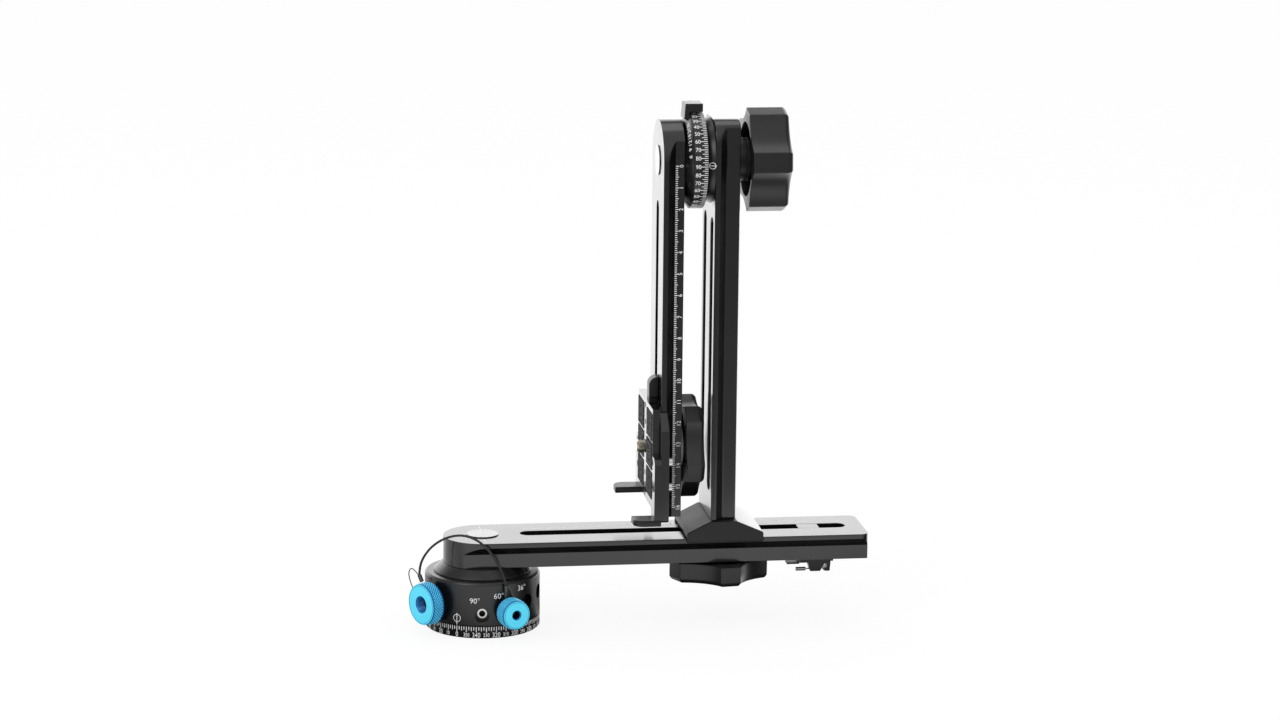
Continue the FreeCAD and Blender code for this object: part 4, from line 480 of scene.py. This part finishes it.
def make_foot_material():
    """Blasted satin all over, but for the polished slope on the side away from the dial."""
    material, board, shader = new_material("blasted_foot")
    grain = board.add("ShaderNodeGroup", node_tree=GRAIN)
    grain.inputs["Low"].default_value, grain.inputs["High"].default_value = (0.0, 0.08)
    tones(board, shader, grain.outputs["Cloud"], *BLACK)
    where = board.add("ShaderNodeTexCoord")
    split = board.add("ShaderNodeSeparateXYZ")
    board.link(where.outputs["Object"], split.inputs[0])
    polished = board.math("MULTIPLY", board.math("GREATER_THAN", split.outputs[0], POLISHED_START * MM),
                          board.math("GREATER_THAN", split.outputs[1], -POLISHED_HALF_WIDTH * MM))
    board.link(board.math("ADD", board.between(polished, 0.0, 1.0, MATT_ROUGHNESS, POLISHED_ROUGHNESS),
                          grain.outputs["Value"]), shader.inputs["Roughness"])
    board.link(board.math("MULTIPLY", polished, POLISHED_COAT), shader.inputs["Coat Weight"])
    bumped(board, shader, grain.outputs["Height"], GRAIN_DEPTH)
    return material


MATERIALS["foot"] = make_foot_material()

wear(cord, MATERIALS["cord"])
wear(left_wire, MATERIALS["wire"])
wear(right_wire, MATERIALS["wire"])

# ---------------------------------------------------------------- CAD pieces with broken edges

SHARP = 34.0   # corners that turn by more than this, in degrees, are broken


def finished(node, material, edge):
    """A copy of a CAD node with its corners broken by a small bevel, as machined parts have."""
    mesh = NODES[node].data.copy()
    item = bpy.data.objects.new(node + "_finished", mesh)
    mesh.name = item.name
    scene.collection.objects.link(item)
    only(item)
    bpy.ops.object.mode_set(mode="EDIT")
    bpy.ops.mesh.select_all(action="SELECT")
    bpy.ops.mesh.customdata_custom_splitnormals_clear()
    bpy.ops.mesh.remove_doubles(threshold=2e-6)
    bpy.ops.mesh.dissolve_limited(angle_limit=math.radians(0.2))
    bpy.ops.object.mode_set(mode="OBJECT")
    put_on("BEVEL", item, width=edge * MM, segments=2, limit_method="ANGLE",
           angle_limit=math.radians(SHARP), use_clamp_overlap=False, harden_normals=False,
           miter_outer="MITER_ARC")
    smooth(item, SHARP)
    put_on("WEIGHTED_NORMAL", item, keep_sharp=True, weight=50)
    wear(item, MATERIALS[material])
    return fit(item, BODY_OF[node], SLOT_OF[node], node)


FINISHED = (
    ("base_plate", "black_body", 0.15),
    ("rotator_body", "black_body", 0.15),
    ("turntable_disc", "black_body", 0.15),
    ("lower_arm", "black_rail", 0.2),
    ("foot_block", "foot", 0.7),
    ("upright", "black_rail", 0.8),
    ("index_hub", "black_body", 0.15),
    ("upper_arm", "black_rail", 0.2),
    ("graduated_dial", "black_body", 0.1),
    ("selector_ring", "black_body", 0.25),
    ("camera_plate", "black_rail", 0.2),
    ("guide_bars", "black_rail", 0.4),
    ("camera_lugs", "blasted", 0.5),
    ("top_lug", "blasted", 0.5),
    ("top_knob", "black_knob", 0.35),
    ("lower_clamp_knob", "black_knob", 0.35),
    ("plate_clamp_knob", "black_knob", 0.35),
    ("stop_block", "black_rail", 0.15),
    ("stop_clip", "black_steel", 0.12),
    ("lower_arm_cap", "black_cap", 0.15),
    ("upper_arm_cap", "black_cap_upper", 0.15),
    ("port_set_screw", "set_screw", 0.3),
)
for node, material, edge in FINISHED:
    finished(node, material, edge)

PLAIN = {
    "steel": "steel", "black_steel": "black_steel", "brass": "brass", "nylon": "nylon", "grip": "grip",
    "cord": "cord", "wire": "wire", "black_anodised": "black_body", "blue_anodised": "blue",
}
OWN_FINISH = {"tether_ferrules": "ferrule", "guide_bar_screws": "bright_screw", "camera_screw": "pale_brass",
              "plunger_pin": "black_steel"}
for name, item in NODES.items():
    wear(item, MATERIALS[OWN_FINISH.get(name, PLAIN[SLOT_OF[name]])])

fit(cord, "rotator", "cord", "tether_cord")
fit(left_wire, "rotator", "wire", "tether_loops")
fit(right_wire, "rotator", "wire", "tether_loops")
line_length(cord)
for wire, azimuth, loop in ((left_wire, LOCK_AZIMUTH, LEFT_LOOP), (right_wire, PORTS[1][0], RIGHT_LOOP)):
    line_length(wire)

# ---------------------------------------------------------------- graduations


def glyph(text, height, bold=0.0, narrow=1.0):
    """Raised text, centred on the origin, its capitals this many millimetres tall."""
    bpy.ops.object.select_all(action="DESELECT")
    bpy.ops.object.text_add()
    item = fresh("glyph")
    item.data.body = text
    item.data.align_x = "CENTER"
    item.data.align_y = "CENTER"
    item.data.size = 1.0
    item.data.offset = bold
    item.data.resolution_u = 3
    item.data.extrude = 0.01
    bpy.ops.object.convert(target="MESH")
    low, high = (min(v.co.y for v in item.data.vertices), max(v.co.y for v in item.data.vertices))
    middle = (min(v.co.x for v in item.data.vertices) + max(v.co.x for v in item.data.vertices)) / 2
    size = height / (high - low)
    item.data.transform(Matrix.Diagonal((size * narrow, size, 2 * INK / 0.02, 1.0))
                        @ Matrix.Translation((-middle, -(low + high) / 2, 0.0)))
    return item


def stroke(width, length):
    """A raised ink line centred on the origin, along its own Y."""
    bpy.ops.object.select_all(action="DESELECT")
    bpy.ops.mesh.primitive_cube_add(size=1.0)
    item = fresh("stroke")
    item.data.transform(Matrix.Diagonal((width, length, 2 * INK, 1.0)))
    return item


def ring_mark(radius, width):
    """A raised ink circle centred on the origin."""
    bpy.ops.object.select_all(action="DESELECT")
    bpy.ops.mesh.primitive_torus_add(major_radius=radius, minor_radius=width / 2, major_segments=28,
                                     minor_segments=6)
    item = fresh("ring_mark")
    item.data.transform(Matrix.Diagonal((1.0, 1.0, 2 * INK / width, 1.0)))
    return item


def copy_of(item):
    twin = item.copy()
    twin.data = item.data.copy()
    scene.collection.objects.link(twin)
    return twin


def moved(item, x, y, turn=0.0):
    item.data.transform(Matrix.Translation((x, y, 0.0)) @ Matrix.Rotation(math.radians(turn), 4, "Z"))
    return item


def wrapped(item, place):
    """Sends each point (right, up, off the surface), in millimetres, to its place on the part."""
    for vertex in item.data.vertices:
        vertex.co = Vector(place(*vertex.co)) * MM
    return item


def on_ring(x, y, off):
    """Round the pan axis: x is the way round from -Y, y the height."""
    turn = x / RING_RADIUS
    reach = RING_RADIUS + off
    return reach * math.sin(turn), -reach * math.cos(turn), y


def on_dial(x, y, off):
    """Round the tilt axis: x is the place along it, y the way up from -Y."""
    turn = y / DIAL_RADIUS
    reach = DIAL_RADIUS + off
    return x, -reach * math.cos(turn), TILT_HEIGHT + reach * math.sin(turn)


def on_arm_top(x, y, off):
    return x, y, ARM_TOP + off


def on_upper_wall(x, y, off):
    return x, -WAIST - off, y


SELECTOR_SLOPE = math.atan2(5.0, 3.2)
SELECTOR_START, SELECTOR_START_RADIUS, SELECTOR_MIDDLE_RADIUS = 91.02, 17.0, 19.5


def on_selector(x, y, off):
    """On the selector's bevel: x is the way along the slope from its small end, y the way up from -Y."""
    reach = SELECTOR_START_RADIUS + x * math.sin(SELECTOR_SLOPE) + off * math.cos(SELECTOR_SLOPE)
    turn = y / SELECTOR_MIDDLE_RADIUS
    along = SELECTOR_START + x * math.cos(SELECTOR_SLOPE) - off * math.sin(SELECTOR_SLOPE)
    return along, -reach * math.cos(turn), TILT_HEIGHT + reach * math.sin(turn)


HUB_SLOPE = math.atan2(1.4, 3.4)
HUB_START, HUB_START_RADIUS, HUB_MIDDLE_RADIUS = 101.2, 18.6, 19.3


def on_hub(x, y, off):
    reach = HUB_START_RADIUS + (x - HUB_START) * math.tan(HUB_SLOPE) + off
    turn = y / HUB_MIDDLE_RADIUS
    return x, -reach * math.cos(turn), TILT_HEIGHT + reach * math.sin(turn)


def ticks(lengths, width, places, vertical=True):
    """Copies of the long, middle and short strokes. places holds (kind, x, y), with the stroke's end at y."""
    patterns = [stroke(width, length) for length in lengths]
    made = []
    for kind, x, y in places:
        item = copy_of(patterns[kind])
        if vertical:
            moved(item, x, y - lengths[kind] / 2)
        else:
            moved(item, x - lengths[kind] / 2, y, 90.0)
        made.append(item)
    for item in patterns:
        bpy.data.objects.remove(item)
    return made


def printed(name, body, items, place):
    item = wrapped(join(items, name), place)
    wear(item, MATERIALS["ink"])
    return fit(item, body, None)


BASE_ZERO = -31.7   # azimuth of the base scale's zero and of the mark over it, in degrees
SCALE_STEPS, STEP_DEGREES = 144, 2.5


def tick_kind(count, long, middle):
    """0 for a long tick, 1 for a middle one and 2 for a short one."""
    return 0 if count % long == 0 else 1 if count % middle == 0 else 2


def base_scale():
    degree = math.radians(1.0) * RING_RADIUS
    places = []
    for step in range(SCALE_STEPS):
        places.append((tick_kind(step, 4, 2), (BASE_ZERO - STEP_DEGREES * step) * degree, RING_TOP - 0.15))
    items = ticks((2.5, 1.95, 1.6), 0.32, places)
    for label in range(0, 360, 10):
        tall = 2.3 if label % 20 == 0 else 1.75
        items.append(moved(glyph(str(label), tall, narrow=0.8), (BASE_ZERO - label) * degree, 1.75))
    return printed("base_graduation", "base", items, on_ring)


PORT_LABELS = (("90°", -13.3, 18.1), ("60°", 10.7, 20.2), ("36°", 36.8, 22.7))


def body_marks():
    degree = math.radians(1.0) * RING_RADIUS
    items = []
    for text, azimuth, height in PORT_LABELS:
        items.append(moved(glyph(text, 2.6, bold=-0.006), azimuth * degree, height))
    zero = BASE_ZERO * degree
    items.append(moved(ring_mark(1.75, 0.24), zero, 9.3))
    items.append(moved(stroke(0.28, 5.5), zero, 8.9))
    return printed("index_and_port_marks", "rotator", items, on_ring)


def dial_scale():
    degree = math.radians(1.0) * DIAL_RADIUS
    places = []
    for step in range(SCALE_STEPS):
        places.append((tick_kind(step, 4, 2), 100.6, -180.0 * degree + STEP_DEGREES * step * degree))
    items = ticks((3.3, 2.5, 1.6), 0.26, places, vertical=False)
    for angle in range(-170, 181, 10):
        label = 90 - abs(angle) if abs(angle) <= 90 else abs(angle) - 90
        items.append(moved(glyph(str(label), 1.9, narrow=0.95), 96.1, angle * degree))
    return printed("dial_graduation", "tilt_arm", items, on_dial)


HUB_MARK = 103.05


def hub_mark():
    items = [moved(ring_mark(1.4, 0.3), HUB_MARK, 0.0), moved(stroke(0.3, 3.5), HUB_MARK, 0.0, 90.0)]
    return printed("hub_index", "foot", items, on_hub)


def selector_marks():
    items = []
    for index, label in enumerate(("6", "9", "12", "18", "24", "36")):
        items.append(moved(glyph(label, 2.1), 3.5, 4.2 + 3.2 * index, 90.0))
    return printed("selector_numbers", "selector", items, on_selector)


LOWER_TICKS, LOWER_TICK_START = (2.9, 2.2, 1.6), 7.2


def lower_ruler():
    places = []
    for mark in range(20, 171):
        kind = tick_kind(mark, 10, 5)
        places.append((kind, float(mark), LOWER_TICK_START + LOWER_TICKS[kind]))
    items = ticks(LOWER_TICKS, 0.3, places)
    for mark in range(20, 171, 10):
        items.append(moved(glyph(str(mark // 10), 2.0), float(mark), 11.6))
    for side in (-1, 1):
        items.append(moved(stroke(0.45, 4.7), 0.0, side * 11.65))
    return printed("lower_arm_ruler", "rotator", items, on_arm_top)


UPPER_TICKS, UPPER_TICK_START, UPPER_DIGITS, UPPER_ZERO = (1.7, 1.7, 1.25), 86.5, 89.4, 217.4


def upper_ruler():
    places = []
    for mark in range(161):
        kind = tick_kind(mark, 10, 5)
        places.append((kind, UPPER_TICK_START + UPPER_TICKS[kind], UPPER_ZERO - mark))
    items = ticks(UPPER_TICKS, 0.36, places, vertical=False)
    for mark in range(17):
        items.append(moved(glyph(str(mark), 1.9, narrow=0.95), UPPER_DIGITS, UPPER_ZERO - 10.0 * mark, 90.0))
    return printed("upper_arm_ruler", "tilt_arm", items, on_upper_wall)


for make in (base_scale, body_marks, dial_scale, hub_mark, selector_marks, lower_ruler, upper_ruler):
    make()

# ---------------------------------------------------------------- grip pads

PAD_THICK = 0.3
PAD_INNER, PAD_OUTER = 4.8, 22.0
PAD_LOW, PAD_PITCH, PAD_HEIGHT = 63.05, 13.8, 12.5


def grip_pads():
    """Six thin gritty pads in two columns on the camera plate's front."""
    bpy.ops.object.select_all(action="DESELECT")
    bpy.ops.mesh.primitive_cube_add(size=1.0)
    pattern = fresh("grip_pad")
    width = PAD_OUTER - PAD_INNER
    pattern.data.transform(Matrix.Diagonal((PAD_THICK * MM, width * MM, PAD_HEIGHT * MM, 1.0)))
    put_on("BEVEL", pattern, width=0.12 * MM, segments=2)
    pads = []
    for side in (-1, 1):
        for row in range(3):
            pad = copy_of(pattern)
            middle = (PLATE_FRONT - PAD_THICK / 2, side * (PAD_INNER + width / 2),
                      PAD_LOW + PAD_HEIGHT / 2 + PAD_PITCH * row)
            pad.data.transform(Matrix.Translation(Vector(middle) * MM))
            pads.append(pad)
    bpy.data.objects.remove(pattern)
    item = wear(join(pads, "grip_pads"), MATERIALS["grip"])
    return fit(item, "carriage", "grip", "plate_pads")


grip_pads()

# ---------------------------------------------------------------- blue knurled knobs

THREAD_PITCH = 0.8
THREAD_DEPTH = 0.35
KNURL_RIM = 0.45                     # height of the slope at either end of the knurl
EDGE_INSET = 0.5                     # how far the knob's two ends are drawn in
GROOVE = (0.75, 0.85, 1.15, 1.25)    # the face's groove, from the knob's radius inward
GROOVE_DEPTH = 0.12
HOLE_CHAMFER = 0.5
HOLE_ENDS = 1.0                      # what the hole's chamfer and its bottom take of the height
KNURL_CREASE = 20.0                  # edges that turn by more than this, in degrees, stay sharp


def knurled(name, material, face, place, columns, rows, radius, start, end, hole, threaded):
    """A knurled disc along its own Z, from start to end, with a groove and a hole in its front face."""
    bpy.ops.object.select_all(action="DESELECT")
    bpy.ops.mesh.primitive_circle_add(vertices=columns, radius=radius - EDGE_INSET, fill_type="NOTHING",
                                      location=(0.0, 0.0, start))
    item = fresh(name)
    bpy.ops.object.transform_apply(location=True, rotation=False, scale=False)
    bpy.ops.object.mode_set(mode="EDIT")
    bpy.ops.mesh.select_all(action="SELECT")

    def grow(height, reach, before):
        """Raises the open rim to a height and a radius."""
        bpy.ops.mesh.extrude_region_move(TRANSFORM_OT_translate={"value": (0.0, 0.0, height)})
        bpy.ops.transform.resize(value=(reach / before, reach / before, 1.0),
                                 center_override=(0.0, 0.0, 0.0))

    grow(KNURL_RIM, radius - KNURL_DEPTH, radius - EDGE_INSET)
    step = (end - start - 2 * KNURL_RIM) / rows
    for _ in range(rows):
        grow(step, radius - KNURL_DEPTH, radius - KNURL_DEPTH)
    grow(KNURL_RIM, radius - EDGE_INSET, radius - KNURL_DEPTH)
    outer, outer_foot, inner_foot, inner = (radius - inset for inset in GROOVE)
    grow(0.0, outer, radius - EDGE_INSET)
    grow(-GROOVE_DEPTH, outer_foot, outer)
    grow(0.0, inner_foot, outer_foot)
    grow(GROOVE_DEPTH, inner, inner_foot)
    grow(0.0, hole + HOLE_CHAMFER, inner)
    grow(-HOLE_CHAMFER, hole, hole + HOLE_CHAMFER)
    turns = int((end - start - HOLE_ENDS) / THREAD_PITCH) if threaded else 0
    for _ in range(turns):
        grow(-THREAD_PITCH / 2, hole - THREAD_DEPTH, hole)
        grow(-THREAD_PITCH / 2, hole, hole - THREAD_DEPTH)
    grow(-(end - start - HOLE_ENDS - turns * THREAD_PITCH), hole, hole)
    bpy.ops.object.mode_set(mode="OBJECT")
    low = start + KNURL_RIM
    for vertex in item.data.vertices:
        reach = math.hypot(vertex.co.x, vertex.co.y)
        row = (vertex.co.z - low) / step
        if abs(reach - radius + KNURL_DEPTH) > 1e-3 or abs(row - round(row)) > 1e-3:
            continue
        column = round((math.atan2(vertex.co.y, vertex.co.x) / (2 * math.pi)) * columns)
        peak = (column + round(row)) % 2 == 0 and 0 < round(row) < rows
        if peak:
            vertex.co.x *= radius / reach
            vertex.co.y *= radius / reach
    valleys = [vertex.index for vertex in item.data.vertices
               if abs(math.hypot(vertex.co.x, vertex.co.y) - radius + KNURL_DEPTH) < 1e-3]
    bpy.ops.object.mode_set(mode="EDIT")
    bpy.ops.mesh.select_mode(type="VERT")
    bpy.ops.mesh.select_all(action="DESELECT")
    bpy.ops.object.mode_set(mode="OBJECT")
    for index in valleys:
        item.data.vertices[index].select = True
    bpy.ops.object.mode_set(mode="EDIT")
    bpy.ops.mesh.vert_connect()
    bpy.ops.mesh.select_all(action="SELECT")
    bpy.ops.mesh.normals_make_consistent(inside=False)
    bpy.ops.object.mode_set(mode="OBJECT")
    item.data.transform(place @ Matrix.Diagonal((MM, MM, MM, 1.0)))
    wear(item, material)
    item.data.materials.append(face)
    item.data.materials.append(MATERIALS["black_body"])
    front = place.to_3x3() @ Vector((0.0, 0.0, 1.0))
    for polygon in item.data.polygons:
        if polygon.normal.dot(front) > 0.9:
            polygon.material_index = 1
        # Painted shade: an unthreaded hole's walls take the black body material, which stands in for the
        # shade inside the hole.
        elif not threaded and (place.inverted() @ polygon.center).to_2d().length < (hole + 0.1) * MM:
            polygon.material_index = 2
    smooth(item, KNURL_CREASE)
    return item


lock = knurled("lock_knob_knurled", MATERIALS["lock_edge"], MATERIALS["lock_face"],
               outward(LOCK_AZIMUTH, LOCK_HEIGHT), columns=84, rows=8, radius=LOCK_RADIUS,
               start=29.6, end=35.84, hole=3.6, threaded=True)
fit(lock, "lock_turner", "blue_anodised", "lock_knob")
plunger = knurled("plunger_knob_knurled", MATERIALS["plunger_edge"], MATERIALS["plunger_face"],
                  outward(*PORTS[1]), columns=64, rows=10, radius=PLUNGER_RADIUS,
                  start=29.2, end=37.0, hole=1.85, threaded=False)
fit(plunger, "plunger", "blue_anodised", "plunger_knob")

# ---------------------------------------------------------------- floor, backdrop and light

# The levels in this block are listed here, and only mirror rays see them. The camera sees white instead, and
# diffuse light comes from an even white sky, a pale floor and two lamps. 1 is white, so a level above 1 is
# brighter than the background that is seen.
LEFT_SKY, RIGHT_SKY, OVERHEAD_LIGHT = 0.5, 0.35, 0.95
# Levels that the object mirrors in the sky, by the height of the direction.
SKY_BEHIND = ((0.0, 2.3), (0.36, 2.3), (0.6, 0.4), (1.0, 0.4))
SKY_FRONT = ((0.0, 0.55), (0.3, 0.75), (0.5, 0.95), (1.0, 0.95))
# Levels that the object mirrors in the floor, by place in metres. They are a painted reflection, and their
# near-black levels close to the object are painted shadow.
FLOOR_LEFT_BEHIND = ((0.0, 0.02), (0.025, 0.03), (0.05, 0.6), (0.1, 0.7), (0.3, 1.5))
FLOOR_RIGHT_BEHIND = ((0.0, 0.02), (0.03, 0.1), (0.05, 1.6), (1.0, 1.8))
FLOOR_LEFT = ((-1.0, 1.2), (-0.5, 0.8), (-0.12, 0.7), (-0.05, 0.6), (-0.02, 0.03))
FLOOR_FRONT = ((-1.0, 0.3), (-0.28, 0.45), (-0.19, 1.15), (-0.13, 1.15), (-0.06, 0.85), (-0.03, 0.05))
# The floor to the right, by heading, and the share of it that is seen by place.
FLOOR_RIGHT = ((0.0, 0.06), (0.06, 0.2), (0.15, 1.3), (0.45, 1.6))
FLOOR_RIGHT_SHARE = ((0.1, 0.4), (0.2, 1.0))
RIGHT_START = 0.17   # where the floor behind changes over, in metres along +X


def profile(board, value, stops):
    """A level that runs straight from one (place, level) stop to the next."""
    low, high = stops[0][0], stops[-1][0]
    top = max(level for _, level in stops)
    ramp = board.add("ShaderNodeValToRGB")
    elements = ramp.color_ramp.elements
    for element, (_, level) in zip((elements[0], elements[-1]), (stops[0], stops[-1])):
        element.color = (level / top, level / top, level / top, 1.0)
    for place, level in stops[1:-1]:
        elements.new((place - low) / (high - low)).color = (level / top, level / top, level / top, 1.0)
    board.link(board.between(value, low, high, 0.0, 1.0), ramp.inputs[0])
    return board.math("MULTIPLY", ramp.outputs[0], top)


def heading(board, x, y):
    """How far a place or direction lies behind (1), beside (0) or in front of (-1) the object."""
    level = board.math("SQRT", board.math("ADD", board.math("MULTIPLY", x, x), board.math("MULTIPLY", y, y)))
    return board.math("DIVIDE", y, board.math("MAXIMUM", level, 1e-4))


def blend(board, share, first, second):
    """The first value where share is 0 and the second where it is 1."""
    rest = board.math("MULTIPLY", first, board.math("SUBTRACT", 1.0, share))
    return board.math("ADD", rest, board.math("MULTIPLY", second, share))


def studio_walls(board, x, y, z):
    """What mirror rays see around the object: a bright backdrop, darker sides and a paler front."""
    cosine = heading(board, x, y)
    sides = board.between(x, -0.2, 0.2, LEFT_SKY, RIGHT_SKY)
    around = blend(board, board.between(cosine, 0.35, 0.75, 0.0, 1.0), sides, profile(board, z, SKY_BEHIND))
    around = blend(board, board.between(cosine, -0.5, -0.9, 0.0, 1.0), around, profile(board, z, SKY_FRONT))
    return blend(board, board.between(z, 0.85, 0.98, 0.0, 1.0), around, OVERHEAD_LIGHT)


def studio_floor(board, x, y):
    """What mirror rays see in the floor, by heading and distance."""
    cosine = heading(board, x, y)
    right = board.between(x, RIGHT_START - 0.02, RIGHT_START + 0.02, 0.0, 1.0)
    behind = blend(board, right, profile(board, y, FLOOR_LEFT_BEHIND), profile(board, y, FLOOR_RIGHT_BEHIND))
    right_side = board.math("MULTIPLY", profile(board, cosine, FLOOR_RIGHT),
                            profile(board, x, FLOOR_RIGHT_SHARE))
    sides = blend(board, board.between(x, -0.02, 0.02, 0.0, 1.0), profile(board, x, FLOOR_LEFT), right_side)
    around = blend(board, board.between(cosine, 0.3, 0.5, 0.0, 1.0), sides, behind)
    return blend(board, board.between(cosine, -0.2, -0.6, 0.0, 1.0), around, profile(board, y, FLOOR_FRONT))


FLOOR_RADIUS = 14.0
FLOOR_WHITE = 0.88   # share of plain white in the floor that the camera sees; the rest takes the shadow


def make_floor():
    bpy.ops.object.select_all(action="DESELECT")
    bpy.ops.mesh.primitive_circle_add(vertices=96, radius=FLOOR_RADIUS, fill_type="NGON")
    floor = fresh("pale_floor")
    material, board, shader = new_material("pale_floor", Base_Color=(0.9, 0.9, 0.9, 1.0), Roughness=1.0,
                                           Specular_IOR_Level=0.0)
    out = material.node_tree.nodes["Material Output"]
    path = board.add("ShaderNodeLightPath")
    where = board.add("ShaderNodeTexCoord")
    split = board.add("ShaderNodeSeparateXYZ")
    board.link(where.outputs["Object"], split.inputs[0])
    shade = studio_floor(board, split.outputs[0], split.outputs[1])
    white = board.add("ShaderNodeEmission")
    board.set(white, Strength=1.0)
    seen = board.add("ShaderNodeMixShader")
    seen.inputs[0].default_value = FLOOR_WHITE
    board.link(shader.outputs[0], seen.inputs[1])
    board.link(white.outputs[0], seen.inputs[2])
    mirrored = board.add("ShaderNodeEmission")
    board.link(shade, mirrored.inputs["Strength"])
    glossy = board.add("ShaderNodeMixShader")
    board.link(path.outputs["Is Glossy Ray"], glossy.inputs[0])
    board.link(shader.outputs[0], glossy.inputs[1])
    board.link(mirrored.outputs[0], glossy.inputs[2])
    final = board.add("ShaderNodeMixShader")
    board.link(path.outputs["Is Camera Ray"], final.inputs[0])
    board.link(glossy.outputs[0], final.inputs[1])
    board.link(seen.outputs[0], final.inputs[2])
    board.link(final.outputs[0], out.inputs[0])
    wear(floor, material)


def make_sky():
    world = bpy.data.worlds.new("studio")
    scene.world = world
    world.use_nodes = True
    board = Board(world.node_tree)
    plain = world.node_tree.nodes["Background"]
    board.set(plain, Color=(1.0, 1.0, 1.0, 1.0), Strength=1.0)
    path = board.add("ShaderNodeLightPath")
    where = board.add("ShaderNodeTexCoord")
    split = board.add("ShaderNodeSeparateXYZ")
    board.link(where.outputs["Generated"], split.inputs[0])
    shade = studio_walls(board, split.outputs[0], split.outputs[1], split.outputs[2])
    mirrored = board.add("ShaderNodeBackground")
    board.link(shade, mirrored.inputs["Strength"])
    white = board.add("ShaderNodeBackground")
    board.set(white, Strength=1.0)
    glossy = board.add("ShaderNodeMixShader")
    board.link(path.outputs["Is Glossy Ray"], glossy.inputs[0])
    board.link(plain.outputs[0], glossy.inputs[1])
    board.link(mirrored.outputs[0], glossy.inputs[2])
    final = board.add("ShaderNodeMixShader")
    board.link(path.outputs["Is Camera Ray"], final.inputs[0])
    board.link(glossy.outputs[0], final.inputs[1])
    board.link(white.outputs[0], final.inputs[2])
    board.link(final.outputs[0], world.node_tree.nodes["World Output"].inputs[0])


def lamp(name, place, target, size, power):
    light = bpy.data.lights.new(name, "AREA")
    light.shape = "RECTANGLE"
    light.size, light.size_y = size
    light.energy = power
    item = bpy.data.objects.new(name, light)
    scene.collection.objects.link(item)
    item.location = place
    item.rotation_euler = (Vector(target) - Vector(place)).to_track_quat("-Z", "Y").to_euler()


make_floor()
make_sky()
CENTRE = (0.08, 0.0, 0.12)
lamp("key_softbox", (-0.9, -0.8, 1.1), CENTRE, (0.8, 0.8), 5.0)
lamp("top_softbox", (0.1, 0.5, 1.5), CENTRE, (1.2, 0.8), 2.5)
